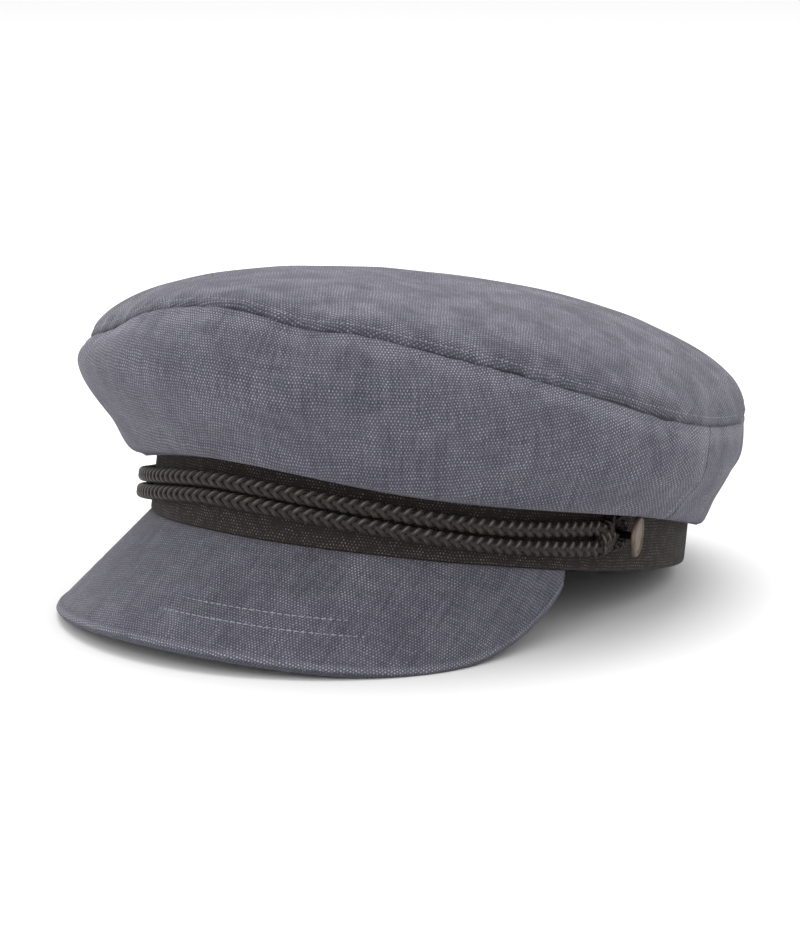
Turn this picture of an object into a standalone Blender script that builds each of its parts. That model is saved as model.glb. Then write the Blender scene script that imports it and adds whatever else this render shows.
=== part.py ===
"""Fisherman cap: a soft canvas crown over a woven hat band, with a stiff peak and a doubled cord trim.

Metres, +Z up, the peak points to -Y and +X is the wearer's left. The cap is shaped in its own frame, in
which the hat band's lower edge is the plane z = 0, and an empty then tips it back until it rests on a
table: on the peak's edge in front and on the hat band behind.
"""

import math

import bpy
from mathutils import Matrix, Vector

# Head opening and hat band
BAND_HALF_WIDTH = 0.0860
BAND_HALF_LENGTH = 0.1047
BAND_HEIGHT = 0.0280
BAND_WALL = 0.0024

# Crown
CLOTH_WALL = 0.0015
CROWN_OVERHANG = 0.0300
CROWN_RISE = 0.0390
DOME_RISE = 0.0240
SIDE_SEAM_ANGLE = 96.0
LIP_FULLNESS = 0.0024
FOLD_DEPTH = 0.0022

# Peak
PEAK_WALL = 0.0030
PEAK_REACH = 0.0471
PEAK_HALF_SPREAD = 76.0
PEAK_SLOPE_FRONT = 47.5
PEAK_SLOPE_CORNER = 60.0
PEAK_FORWARD_LEAN = 1.4

# Cord trim and side buttons
CORD_DIAMETER = 0.0054
LOOP_DIAMETER = 0.0042
KNOT_ANGLE = 82.9
KNOT_LENGTH = 0.0072
KNOT_HEIGHT = 0.0155
KNOT_DEPTH = 0.0068
BUTTON_ANGLE = 86.0
BUTTON_DIAMETER = 0.0137
BUTTON_WALL = 0.0018
BUTTON_RIM = 0.0009
BUTTON_TILT = 27.0
BUTTON_LIFT = 0.0015
SHANK_DIAMETER = 0.0026

# Clearances
SEAM_GAP = 0.0004
TRIM_GAP = 0.0004
LOOP_SLACK = 0.0006
TABLE_PRESS = 0.0010

# Facets
RING_STEPS = 72
SPAN_STEPS = (1, 1, 2, 3, 3, 3)
DOME_STEPS = 8
PEAK_STEPS = 30
PEAK_ROWS = 6
CORD_STEPS = 52
LOOP_STEPS = 14

# Sections of the crown's side, by angle from the front, towards the wearer's left. Every "out" is a share of
# CROWN_OVERHANG. The lip is where the cloth hangs lowest over the band, and its height is a share of
# BAND_HEIGHT. The other heights are shares of CROWN_RISE, above the band's upper edge.
SIDE_SECTIONS = [
    {"angle": -180, "lip_out": 0.20, "lip": 0.48, "mid_out": 0.33, "mid": -0.04, "bulge_out": 0.42,
     "bulge": 0.28, "seam_out": 0.38, "seam": 0.54},
    {"angle": -135, "lip_out": 0.14, "lip": 0.50, "mid_out": 0.33, "mid": 0.01, "bulge_out": 0.42,
     "bulge": 0.35, "seam_out": 0.37, "seam": 0.68},
    {"angle": -90, "lip_out": 0.20, "lip": 0.71, "mid_out": 0.50, "mid": 0.12, "bulge_out": 0.80,
     "bulge": 0.48, "seam_out": 0.80, "seam": 0.62},
    {"angle": -45, "lip_out": 0.20, "lip": 0.65, "mid_out": 0.74, "mid": 0.19, "bulge_out": 0.98,
     "bulge": 0.50, "seam_out": 0.89, "seam": 0.67},
    {"angle": 0, "lip_out": 0.15, "lip": 0.88, "mid_out": 0.60, "mid": 0.22, "bulge_out": 1.00,
     "bulge": 0.66, "seam_out": 0.72, "seam": 1.15},
    {"angle": 45, "lip_out": 0.20, "lip": 0.74, "mid_out": 0.66, "mid": 0.20, "bulge_out": 0.98,
     "bulge": 0.57, "seam_out": 0.78, "seam": 1.00},
    {"angle": 90, "lip_out": 0.20, "lip": 0.70, "mid_out": 0.70, "mid": 0.13, "bulge_out": 0.78,
     "bulge": 0.47, "seam_out": 0.76, "seam": 0.63},
    {"angle": 135, "lip_out": 0.14, "lip": 0.48, "mid_out": 0.27, "mid": 0.05, "bulge_out": 0.43,
     "bulge": 0.30, "seam_out": 0.39, "seam": 0.68},
    {"angle": 180, "lip_out": 0.20, "lip": 0.48, "mid_out": 0.33, "mid": -0.04, "bulge_out": 0.42,
     "bulge": 0.28, "seam_out": 0.38, "seam": 0.54},
]

# Soft folds and dents of the crown. "angle" and "spread" are degrees round the crown. "place" and "reach" are
# shares of the way up the side, 0 at the lip and 1 at the seam, and beyond 1 towards the middle of the top.
# "depth", outwards when positive, and "sag", downwards, are shares of FOLD_DEPTH.
FOLDS = [
    {"angle": 20, "spread": 6, "place": 1.00, "reach": 0.30, "depth": -0.9, "sag": 0.8},
    {"angle": 30, "spread": 7, "place": 0.95, "reach": 0.30, "depth": 0.7, "sag": -0.3},
    {"angle": 6, "spread": 8, "place": 1.00, "reach": 0.30, "depth": 0.3, "sag": -0.5},
    {"angle": -44, "spread": 16, "place": 0.10, "reach": 0.26, "depth": -0.8, "sag": 0.0},
    {"angle": 60, "spread": 9, "place": 0.45, "reach": 0.40, "depth": -0.5, "sag": 0.0},
    {"angle": 100, "spread": 4, "place": 1.05, "reach": 0.33, "depth": -0.5, "sag": 0.1},
    {"angle": 112, "spread": 4, "place": 1.00, "reach": 0.40, "depth": 0.7, "sag": -0.1},
    {"angle": 119, "spread": 4, "place": 1.00, "reach": 0.43, "depth": -0.8, "sag": 0.2},
    {"angle": 128, "spread": 4, "place": 1.00, "reach": 0.43, "depth": 0.8, "sag": -0.1},
    {"angle": 137, "spread": 4, "place": 0.98, "reach": 0.40, "depth": -0.8, "sag": 0.2},
    {"angle": 134, "spread": 12, "place": 0.10, "reach": 0.18, "depth": -1.0, "sag": 0.0},
    {"angle": 158, "spread": 7, "place": 0.50, "reach": 0.33, "depth": 0.8, "sag": 0.0},
    {"angle": 178, "spread": 8, "place": 0.37, "reach": 0.33, "depth": -0.9, "sag": 0.3},
    {"angle": -160, "spread": 7, "place": 0.58, "reach": 0.36, "depth": 0.8, "sag": 0.0},
    {"angle": -138, "spread": 5, "place": 1.00, "reach": 0.40, "depth": -0.8, "sag": 0.2},
    {"angle": -124, "spread": 5, "place": 1.00, "reach": 0.43, "depth": 0.8, "sag": -0.1},
    {"angle": -112, "spread": 4, "place": 1.00, "reach": 0.40, "depth": -0.7, "sag": 0.2},
    {"angle": -80, "spread": 14, "place": 0.25, "reach": 0.33, "depth": 0.6, "sag": 0.0},
    {"angle": -24, "spread": 8, "place": 1.00, "reach": 0.26, "depth": -0.7, "sag": 0.6},
]

# The middle of the cord pair, as a share of BAND_HEIGHT, and how far its two runs stand apart beyond their
# own thickness, as a share of CORD_DIAMETER.
CORD_ROUTE = [
    {"angle": -90, "middle": 0.42, "spread": 0.24},
    {"angle": -60, "middle": 0.28, "spread": 0.04},
    {"angle": -30, "middle": 0.37, "spread": 0.00},
    {"angle": 0, "middle": 0.51, "spread": 0.00},
    {"angle": 30, "middle": 0.45, "spread": 0.00},
    {"angle": 60, "middle": 0.36, "spread": 0.04},
    {"angle": 90, "middle": 0.43, "spread": 0.24},
]

MATERIALS = {
    "canvas": {"color": (0.141, 0.145, 0.185), "roughness": 0.95, "metallic": 0.0},
    "band_cloth": {"color": (0.035, 0.032, 0.030), "roughness": 0.92, "metallic": 0.0},
    "cord": {"color": (0.024, 0.021, 0.019), "roughness": 0.62, "metallic": 0.0},
    "metal": {"color": (0.230, 0.185, 0.150), "roughness": 0.45, "metallic": 1.0},
}


def rows_value(rows, column, angle):
    """The column's value at an angle, on a smooth curve through the rows."""
    angles = [row["angle"] for row in rows]
    angle = min(max(angle, angles[0]), angles[-1])
    index = max(i for i, a in enumerate(angles[:-1]) if a <= angle)
    ring = angles[-1] - angles[0] == 360
    spots = [index - 1, index, index + 1, index + 2]
    if ring:
        spots = [i % (len(rows) - 1) for i in spots]
    before, start, end, after = [rows[min(max(i, 0), len(rows) - 1)][column] for i in spots]
    way = (angle - angles[index]) / (angles[index + 1] - angles[index])
    tangent_in = (end - before) / 2
    tangent_out = (after - start) / 2
    return (
        start * (1 + 2 * way) * (1 - way) ** 2
        + end * (3 - 2 * way) * way**2
        + tangent_in * way * (1 - way) ** 2
        - tangent_out * way**2 * (1 - way)
    )


def curve_point(points, way):
    """A point at way 0 to 1 along a smooth curve through 2D points, evenly spread over their spans."""
    place = way * (len(points) - 1)
    index = min(int(place), len(points) - 2)
    local = place - index
    before = points[max(index - 1, 0)]
    after = points[min(index + 2, len(points) - 1)]
    start, end = points[index], points[index + 1]
    blended = []
    for a, b, c, d in zip(before, start, end, after):
        slope, bend, twist = c - a, 2 * a - 5 * b + 4 * c - d, 3 * b - a - 3 * c + d
        blended.append((2 * b + slope * local + bend * local**2 + twist * local**3) / 2)
    return tuple(blended)


def outward(angle):
    """The hat band's outward direction at an angle from the front, positive to the wearer's left."""
    turn = math.radians(angle)
    return Vector((math.sin(turn) / BAND_HALF_WIDTH, -math.cos(turn) / BAND_HALF_LENGTH, 0)).normalized()


def band_point(angle, out=0.0, height=0.0):
    """A point at a distance outside the hat band's outer face."""
    turn = math.radians(angle)
    foot = Vector((BAND_HALF_WIDTH * math.sin(turn), -BAND_HALF_LENGTH * math.cos(turn), height))
    return foot + outward(angle) * out


def arc_per_degree(angle):
    """Length along the hat band of one degree, at an angle."""
    turn = math.radians(angle)
    return math.radians(math.hypot(BAND_HALF_WIDTH * math.cos(turn), BAND_HALF_LENGTH * math.sin(turn)))


# Crown surfaces


def fold_offset(angle, place):
    """How far the folds push the cloth out, and how far down, at this angle and place."""
    out, down = 0.0, 0.0
    for fold in FOLDS:
        away = (angle - fold["angle"] + 180) % 360 - 180
        around = away / fold["spread"]
        along = (place - fold["place"]) / fold["reach"]
        swell = math.exp(-(around**2) - along**2) * FOLD_DEPTH
        out += fold["depth"] * swell
        down += fold["sag"] * swell
    return out, down


def side_profile(angle):
    """Key points (out, height) of the side cloth's middle surface, from the band's upper edge to the seam."""
    columns = [column for column in SIDE_SECTIONS[0] if column != "angle"]
    row = {column: rows_value(SIDE_SECTIONS, column, angle) for column in columns}
    seat = BAND_HEIGHT + SEAM_GAP + CLOTH_WALL / 2
    clear = SEAM_GAP + CLOTH_WALL / 2
    lip = (CROWN_OVERHANG * row["lip_out"], BAND_HEIGHT * row["lip"] + CLOTH_WALL / 2)
    hanging = (clear * 1.8, lip[1] + (seat - lip[1]) * 0.5)
    points = [(-BAND_WALL / 2, seat), (clear * 0.75, seat), hanging, lip]
    for key in ("mid", "bulge", "seam"):
        points.append((CROWN_OVERHANG * row[key + "_out"], BAND_HEIGHT + CROWN_RISE * row[key]))
    return points


def side_point(angle, way):
    """A point of the side cloth, way 0 at the band, 0.5 at the lip and 1 at the seam."""
    wrapped = (angle + 180) % 360 - 180
    out, height = curve_point(side_profile(wrapped), way)
    above_lip = min(1.0, max(0.0, (way - 0.5) / 0.12))
    height -= LIP_FULLNESS * math.sin(math.pi * above_lip) ** 2
    settle = min(1.0, max(0.0, (way - 0.35) / 0.15))
    fold_out, fold_down = fold_offset(wrapped, way * 2 - 1)
    return band_point(wrapped, out + fold_out * settle, height - fold_down * settle)


def dome_point(angle, inward):
    """A point of the top cloth, inward 0 at the seam to 1 at the middle."""
    wrapped = (angle + 180) % 360 - 180
    seam = side_point(wrapped, 1.0)
    apex = Vector((0, 0, BAND_HEIGHT + CROWN_RISE + DOME_RISE))
    across = 1 - inward
    rise = math.sqrt(max(0.0, 1 - across**2.1))
    point = Vector((seam.x * across, seam.y * across, seam.z + (apex.z - seam.z) * rise))
    fold_out, fold_down = fold_offset(wrapped, 1 + inward * 2)
    seam_out, seam_down = fold_offset(wrapped, 1.0)
    calm = min(1.0, across * 2)
    spread = outward(wrapped) * (fold_out * calm - seam_out * across)
    return point + spread - Vector((0, 0, fold_down * calm - seam_down * across))


# Solids


def material(name):
    """A Principled material in the piece's colour."""
    made = bpy.data.materials.get(name)
    if made is None:
        look = MATERIALS[name]
        made = bpy.data.materials.new(name)
        made.use_nodes = True
        shader = made.node_tree.nodes["Principled BSDF"]
        shader.inputs["Base Color"].default_value = (*look["color"], 1)
        shader.inputs["Roughness"].default_value = look["roughness"]
        shader.inputs["Metallic"].default_value = look["metallic"]
    return made


def add_object(name, data, look, collection, parent):
    """An object in the cap's collection and frame."""
    made = bpy.data.objects.new(name, data)
    data.materials.append(material(look))
    collection.objects.link(made)
    made.parent = parent
    return made


def grid_mesh(name, rows, closed_row, closing_point=None):
    """A sheet through rows of points. closing_point joins the last row in one point."""
    width = len(rows[0])
    points = [point for row in rows for point in row]
    faces = []
    last = width if closed_row else width - 1
    for r in range(len(rows) - 1):
        for c in range(last):
            near, far = r * width, (r + 1) * width
            faces.append((near + c, near + (c + 1) % width, far + (c + 1) % width, far + c))
    if closing_point is not None:
        points.append(closing_point)
        start = (len(rows) - 1) * width
        faces += [(start + c, start + (c + 1) % width, len(points) - 1) for c in range(last)]
    mesh = bpy.data.meshes.new(name)
    mesh.from_pydata(points, [], faces)
    mesh.update()
    return mesh


def loft_mesh(name, sections, closed_run):
    """A solid through closed sections with the same number of points: a ring, or a run with two end caps."""
    width = len(sections[0])
    faces = []
    last = len(sections) if closed_run else len(sections) - 1
    for s in range(last):
        near, far = s * width, (s + 1) % len(sections) * width
        faces += [(near + c, far + c, far + (c + 1) % width, near + (c + 1) % width) for c in range(width)]
    if not closed_run:
        faces.append(tuple(range(width)))
        faces.append(tuple((len(sections) - 1) * width + c for c in reversed(range(width))))
    mesh = bpy.data.meshes.new(name)
    mesh.from_pydata([point for section in sections for point in section], [], faces)
    mesh.update()
    return mesh


def smooth(made):
    """Smooth shading with the sharp edges kept."""
    made.data.shade_smooth()
    made.data.set_sharp_from_angle(angle=math.radians(35))


def thicken(made, wall):
    """A wall of even thickness, centred on the sheet."""
    solidify = made.modifiers.new("wall", "SOLIDIFY")
    solidify.thickness = wall
    solidify.offset = 0
    solidify.use_even_offset = True


def side_panel(name, first, last, steps, collection, parent):
    """One panel of the crown's side, between two angles."""
    angles = [first + (last - first) * step / steps for step in range(steps + 1)]
    ways = []
    for span, count in enumerate(SPAN_STEPS):
        ways += [(span + step / count) / len(SPAN_STEPS) for step in range(count)]
    rows = [[side_point(angle, way) for angle in angles] for way in ways + [1.0]]
    made = add_object(name, grid_mesh(name, rows, closed_row=False), "canvas", collection, parent)
    thicken(made, CLOTH_WALL)
    smooth(made)
    return made


def crown_sides(collection, parent):
    """The front and back panels, which meet in a seam behind each button."""
    seam_angle = SEAM_GAP / arc_per_degree(SIDE_SEAM_ANGLE) / 2
    front_half = SIDE_SEAM_ANGLE - seam_angle
    back_start = SIDE_SEAM_ANGLE + seam_angle
    front_steps = round(RING_STEPS * SIDE_SEAM_ANGLE / 180)
    back_steps = RING_STEPS - front_steps
    side_panel("crown_front_panel", -front_half, front_half, front_steps, collection, parent)
    side_panel("crown_back_panel", back_start, 360 - back_start, back_steps, collection, parent)


def crown_top(collection, parent):
    """The oval top, sewn to the side panels all round."""
    angles = [360 * step / RING_STEPS for step in range(RING_STEPS)]
    rows = []
    for step in range(DOME_STEPS):
        inward = (step / DOME_STEPS) ** 1.7
        rows.append([dome_point(angle, inward) for angle in angles])
    for spot, angle in enumerate(angles):
        rise = (rows[1][spot] - rows[0][spot]).normalized()
        rows[0][spot] = rows[0][spot] + rise * SEAM_GAP
    mesh = grid_mesh("crown_top", rows, closed_row=True, closing_point=dome_point(0, 1))
    made = add_object("crown_top", mesh, "canvas", collection, parent)
    thicken(made, CLOTH_WALL)
    smooth(made)


# Hat band, peak and how they meet the table


def peak_length(share):
    """The peak's reach from the band, share -1 at its right corner to 1 at its left."""
    return PEAK_WALL + (PEAK_REACH - PEAK_WALL) * (1 - abs(share) ** 3.5) ** 0.72


def peak_direction(angle, share):
    """The way the peak leaves the band: outwards in front, and leaning forwards at its corners."""
    return (outward(angle) + Vector((0, -PEAK_FORWARD_LEAN * share**4, 0))).normalized()


def peak_nose(edge, along, under):
    """Three points that round the peak's free edge."""
    spots = ((0.32, 0.18), (0.45, 0.50), (0.32, 0.82))
    return [(edge[0] + (along[0] * ahead + under[0] * down) * PEAK_WALL,
             edge[1] + (along[1] * ahead + under[1] * down) * PEAK_WALL) for ahead, down in spots]


def peak_section(share):
    """The closed outline of a cut through the peak: a flange under the band, then the sloping board."""
    angle = PEAK_HALF_SPREAD * share
    slope = math.radians(PEAK_SLOPE_FRONT + (PEAK_SLOPE_CORNER - PEAK_SLOPE_FRONT) * share**2)
    length = peak_length(share)
    along = (math.cos(slope), -math.sin(slope))
    under = (-math.sin(slope), -math.cos(slope))
    top = [(-BAND_WALL, -SEAM_GAP), (0.0, -SEAM_GAP)]
    top += [(along[0] * length * r / PEAK_ROWS, -SEAM_GAP + along[1] * length * r / PEAK_ROWS)
            for r in range(1, PEAK_ROWS + 1)]
    mitre = -PEAK_WALL * math.tan(slope / 2)
    below = [(x + under[0] * PEAK_WALL, z + under[1] * PEAK_WALL) for x, z in reversed(top[2:])]
    below += [(mitre, -SEAM_GAP - PEAK_WALL), (-BAND_WALL, -SEAM_GAP - PEAK_WALL)]
    way = peak_direction(angle, share)
    normal = outward(angle)
    points = []
    for x, z in top + peak_nose(top[-1], along, under) + below:
        base = band_point(angle, min(x, 0.0), z)
        points.append(base + (way if x > 0 else normal) * max(x, 0.0))
    return points


def peak_sections():
    """The peak's cuts from its right corner to its left, closer together near the corners."""
    shares = [math.sin(math.pi / 2 * (2 * step / PEAK_STEPS - 1)) for step in range(PEAK_STEPS + 1)]
    return [peak_section(share) for share in shares]


def resting_tilt():
    """The angle at which the peak's lowest point and the band's rear edge stand on one level."""
    points = [point for section in peak_sections() for point in section]
    low, high = 0.0, math.radians(40)
    for _ in range(40):
        tilt = (low + high) / 2
        peak_low = min(point.y * -math.sin(tilt) + point.z * math.cos(tilt) for point in points)
        band_low = BAND_HALF_LENGTH * -math.sin(tilt)
        if peak_low < band_low:
            low = tilt
        else:
            high = tilt
    return (low + high) / 2


def press_flat(points, tilt):
    """Cloth that would sink into the table lies flat on it."""
    level = -BAND_HALF_LENGTH * math.sin(tilt) + TABLE_PRESS
    pressed = []
    for point in points:
        height = point.y * -math.sin(tilt) + point.z * math.cos(tilt)
        lift = max(0.0, level - height)
        pressed.append(point + Vector((0, -math.sin(tilt), math.cos(tilt))) * lift)
    return pressed


def hat_band(tilt, collection, parent):
    """The woven band round the head opening."""
    sections = []
    for step in range(RING_STEPS):
        angle = 360 * step / RING_STEPS
        corners = [(0, 0), (0, BAND_HEIGHT / 2), (0, BAND_HEIGHT),
                   (-BAND_WALL, BAND_HEIGHT), (-BAND_WALL, BAND_HEIGHT / 2), (-BAND_WALL, 0)]
        sections.append(press_flat([band_point(angle, out, height) for out, height in corners], tilt))
    mesh = loft_mesh("hat_band", sections, closed_run=True)
    made = add_object("hat_band", mesh, "band_cloth", collection, parent)
    smooth(made)


def peak(tilt, collection, parent):
    """The cloth-covered board over the eyes."""
    sections = [press_flat(section, tilt) for section in reversed(peak_sections())]
    made = add_object("peak", loft_mesh("peak", sections, closed_run=False), "canvas", collection, parent)
    smooth(made)


# Cord trim and buttons


def cord_height(angle, side):
    """The height of the upper (side 1) or lower (side -1) run's middle."""
    middle = BAND_HEIGHT * rows_value(CORD_ROUTE, "middle", angle)
    apart = CORD_DIAMETER * (1 + rows_value(CORD_ROUTE, "spread", angle)) + TRIM_GAP
    return middle + side * apart / 2


def tube(name, points, diameter, collection, parent):
    """A round cord along points, with closed ends."""
    curve = bpy.data.curves.new(name, "CURVE")
    curve.dimensions = "3D"
    curve.bevel_depth = diameter / 2
    curve.bevel_resolution = 2
    curve.use_fill_caps = True
    spline = curve.splines.new("POLY")
    spline.points.add(len(points) - 1)
    for spot, point in zip(spline.points, points):
        spot.co = (*point, 1)
        spot.radius = 1
    return add_object(name, curve, "cord", collection, parent)


def cord_runs(collection, parent):
    """The two runs of cord across the front, from knot to knot."""
    reach = KNOT_ANGLE - (KNOT_LENGTH / 2 + TRIM_GAP) / arc_per_degree(KNOT_ANGLE)
    out = TRIM_GAP + CORD_DIAMETER / 2
    for name, side in (("cord_upper", 1), ("cord_lower", -1)):
        points = []
        for step in range(CORD_STEPS + 1):
            angle = reach * (2 * step / CORD_STEPS - 1)
            points.append(band_point(angle, out, cord_height(angle, side)))
        tube(name, points, CORD_DIAMETER, collection, parent)


def knot(name, side, collection, parent):
    """The wrapped slider that holds the two runs together."""
    middle = BAND_HEIGHT * rows_value(CORD_ROUTE, "middle", side * KNOT_ANGLE)
    wraps, steps, corners = 3, 12, 12
    sections = []
    for step in range(steps + 1):
        along = (step / steps - 0.5) * KNOT_LENGTH
        swell = 0.86 + 0.14 * abs(math.sin(math.pi * wraps * step / steps))
        angle = side * (KNOT_ANGLE + along / arc_per_degree(KNOT_ANGLE))
        section = []
        for corner in range(corners):
            turn = 2 * math.pi * corner / corners
            out = TRIM_GAP + KNOT_DEPTH / 2 * (1 + swell * math.cos(turn))
            section.append(band_point(angle, out, middle + KNOT_HEIGHT / 2 * swell * math.sin(turn)))
        sections.append(section if side > 0 else section[::-1])
    made = add_object(name, loft_mesh(name, sections, closed_run=False), "cord", collection, parent)
    smooth(made)


def loop_reach():
    """How far the loop's outer side stands from the shank's foot."""
    return SHANK_DIAMETER / 2 + TRIM_GAP + LOOP_SLACK + LOOP_DIAMETER


def end_loop(name, side, collection, parent):
    """The cord's end, which leaves the knot, goes round the button's shank and comes back."""
    middle = BAND_HEIGHT * rows_value(CORD_ROUTE, "middle", side * KNOT_ANGLE)
    degree = arc_per_degree(BUTTON_ANGLE)
    start = KNOT_ANGLE + (KNOT_LENGTH / 2 + TRIM_GAP) / degree
    bend = loop_reach() - LOOP_DIAMETER / 2
    half_gap = max(bend, LOOP_DIAMETER / 2 + TRIM_GAP)
    out = TRIM_GAP + LOOP_DIAMETER / 2
    route = [(start, half_gap)]
    for step in range(LOOP_STEPS + 1):
        turn = math.pi * (0.5 - step / LOOP_STEPS)
        route.append((BUTTON_ANGLE + bend * math.cos(turn) / degree, half_gap * math.sin(turn)))
    route.append((start, -half_gap))
    points = [band_point(side * angle, out, middle + BUTTON_LIFT + rise) for angle, rise in route]
    tube(name, points, LOOP_DIAMETER, collection, parent)


def button(name, side, collection, parent):
    """A plain metal disc with a raised rim, on a shank."""
    middle = BAND_HEIGHT * rows_value(CORD_ROUTE, "middle", side * KNOT_ANGLE)
    tilt = math.radians(BUTTON_TILT)
    stand = 2 * TRIM_GAP + LOOP_DIAMETER + loop_reach() * math.tan(tilt)
    radius = BUTTON_DIAMETER / 2
    top = stand + BUTTON_WALL
    profile = [(0, top - BUTTON_RIM * 0.4), (radius - 2 * BUTTON_RIM, top - BUTTON_RIM * 0.4),
               (radius - BUTTON_RIM, top), (radius - BUTTON_RIM * 0.3, top - BUTTON_RIM * 0.2),
               (radius, stand + BUTTON_WALL * 0.5), (radius - BUTTON_RIM, stand),
               (SHANK_DIAMETER / 2, stand), (SHANK_DIAMETER / 2, 0), (0, 0)]
    mesh = bpy.data.meshes.new(name)
    mesh.from_pydata([(x, 0, z) for x, z in profile], [(i, i + 1) for i in range(len(profile) - 1)], [])
    made = add_object(name, mesh, "metal", collection, parent)
    screw = made.modifiers.new("turn", "SCREW")
    screw.steps = 24
    screw.render_steps = 24
    screw.use_merge_vertices = True
    screw.merge_threshold = 0.00005
    screw.use_smooth_shade = False
    foot_out = TRIM_GAP + SHANK_DIAMETER / 2 * math.sin(tilt)
    foot = band_point(side * BUTTON_ANGLE, foot_out, middle + BUTTON_LIFT)
    axis = outward(side * BUTTON_ANGLE)
    back = Vector((0, 0, 1)).cross(axis) * side
    face = axis * math.cos(tilt) + back * math.sin(tilt)
    upright = Vector((0, 0, 1))
    turn = Matrix((upright.cross(face), upright, face)).transposed()
    made.matrix_local = Matrix.Translation(foot) @ turn.to_4x4()


def box_of(collection):
    """The lowest and highest world corners of the finished pieces."""
    graph = bpy.context.evaluated_depsgraph_get()
    low, high = Vector((1e9,) * 3), Vector((-1e9,) * 3)
    for piece in collection.objects:
        if piece.type == "EMPTY":
            continue
        finished = piece.evaluated_get(graph)
        mesh = finished.to_mesh()
        for vertex in mesh.vertices:
            spot = finished.matrix_world @ vertex.co
            low = Vector(map(min, low, spot))
            high = Vector(map(max, high, spot))
        finished.to_mesh_clear()
    return low, high


def build():
    """The whole cap, resting on the plane z = 0 with the middle of its box over the origin."""
    for old in list(bpy.data.objects):
        bpy.data.objects.remove(old)
    collection = bpy.data.collections.new("fisherman_cap")
    bpy.context.scene.collection.children.link(collection)
    seat = bpy.data.objects.new("cap_seat", None)
    collection.objects.link(seat)
    tilt = resting_tilt()

    hat_band(tilt, collection, seat)
    peak(tilt, collection, seat)
    crown_sides(collection, seat)
    crown_top(collection, seat)
    cord_runs(collection, seat)
    for hand, side in (("left", 1), ("right", -1)):
        knot("cord_knot_" + hand, side, collection, seat)
        end_loop("cord_loop_" + hand, side, collection, seat)
        button("button_" + hand, side, collection, seat)

    seat.rotation_euler = (-tilt, 0, 0)
    bpy.context.view_layer.update()
    low, high = box_of(collection)
    middle = (low + high) / 2
    seat.location = (-middle.x, -middle.y, BAND_HALF_LENGTH * math.sin(tilt) - TABLE_PRESS)
    bpy.context.view_layer.update()


build()
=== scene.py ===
# %% [markdown]
# A fisherman cap is sewn from a few flat pieces of cloth. Two side panels rise from a dark hat band and
# overhang it, an oval top closes them, and a stiff cloth-covered peak slopes down over the eyes. A doubled
# plaited cord runs across the front, held by a wrapped knot on each side, and its ends loop round two
# small buttons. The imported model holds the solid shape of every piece. This script dresses each of them
# with a finer sheet of cloth, real plaits and rows of stitches, and weaves the cloth in its materials.

# %% Frame
import math

import bpy
import numpy as np
from mathutils import Matrix, Vector, noise


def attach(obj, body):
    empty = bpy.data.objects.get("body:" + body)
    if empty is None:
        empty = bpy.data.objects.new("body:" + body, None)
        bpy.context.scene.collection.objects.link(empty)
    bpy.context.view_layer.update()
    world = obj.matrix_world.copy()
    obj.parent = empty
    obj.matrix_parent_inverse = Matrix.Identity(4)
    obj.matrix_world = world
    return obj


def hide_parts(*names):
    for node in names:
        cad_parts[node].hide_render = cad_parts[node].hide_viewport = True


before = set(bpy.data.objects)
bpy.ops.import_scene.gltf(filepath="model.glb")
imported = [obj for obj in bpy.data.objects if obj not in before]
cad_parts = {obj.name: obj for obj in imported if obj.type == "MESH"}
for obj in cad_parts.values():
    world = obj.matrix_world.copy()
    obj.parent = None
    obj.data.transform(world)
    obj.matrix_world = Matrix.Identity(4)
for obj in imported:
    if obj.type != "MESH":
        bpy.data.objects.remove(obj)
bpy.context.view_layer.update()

# %% [markdown]
# The cap leans back, because it rests on its peak in front and on its band behind. All its pieces are
# easier to describe in the cap's own frame, where the band's lower edge is level. The band itself gives
# that frame: its upper edge is a flat ring, so the ring's normal tells how far the cap leans, and the
# ring's extents give the size of the head opening.

# %% The cap's own frame, from the hat band
band_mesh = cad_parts["hat_band"].data
up = Vector()
for face in band_mesh.polygons:
    if face.normal.z > 0.9:
        up += face.normal * face.area
up.normalize()
TILT = math.atan2(up.y, up.z)
lean = Matrix.Rotation(-TILT, 3, "X")
band_spots = [lean.transposed() @ vertex.co for vertex in band_mesh.vertices]
lows = [min(spot[axis] for spot in band_spots) for axis in range(3)]
highs = [max(spot[axis] for spot in band_spots) for axis in range(3)]
BAND_HALF_WIDTH = (highs[0] - lows[0]) / 2
BAND_HALF_LENGTH = (highs[1] - lows[1]) / 2
BAND_HEIGHT = highs[2] - lows[2]
seat = lean @ Vector(((highs[0] + lows[0]) / 2, (highs[1] + lows[1]) / 2, lows[2]))
print(f"leans {math.degrees(TILT):.2f} degrees, opening {2000 * BAND_HALF_WIDTH:.1f} x "
      f"{2000 * BAND_HALF_LENGTH:.1f} mm, band {1000 * BAND_HEIGHT:.1f} mm high, seat {seat}")


def to_world(points):
    """Points of the cap's own frame, an array of rows, in the row frame."""
    return np.asarray(points, float) @ np.array(lean).T + np.array(seat)


# %% [markdown]
# The camera comes first, because everything is judged through it. The photograph is a product shot: a long
# lens, a little above the cap and forty degrees round to the wearer's left. The aim lies below the cap's
# middle, because the cap stands a little above the middle of the picture.

# %% Camera
CAMERA_PLACE = Vector((0.7970, -0.9405, 0.3062))
CAMERA_AIM = Vector((-0.0006, -0.0013, 0.0403))
CAMERA_LENS = 137.0

camera = bpy.data.objects.new("camera", bpy.data.cameras.new("camera"))
camera.data.lens = CAMERA_LENS
camera.data.clip_start = 0.05
camera.location = CAMERA_PLACE
camera.rotation_euler = (CAMERA_PLACE - CAMERA_AIM).to_track_quat("Z", "Y").to_euler()
bpy.context.scene.collection.objects.link(camera)
bpy.context.scene.camera = camera
print(f"camera {(CAMERA_PLACE - CAMERA_AIM).length:.3f} m from its aim")

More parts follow.
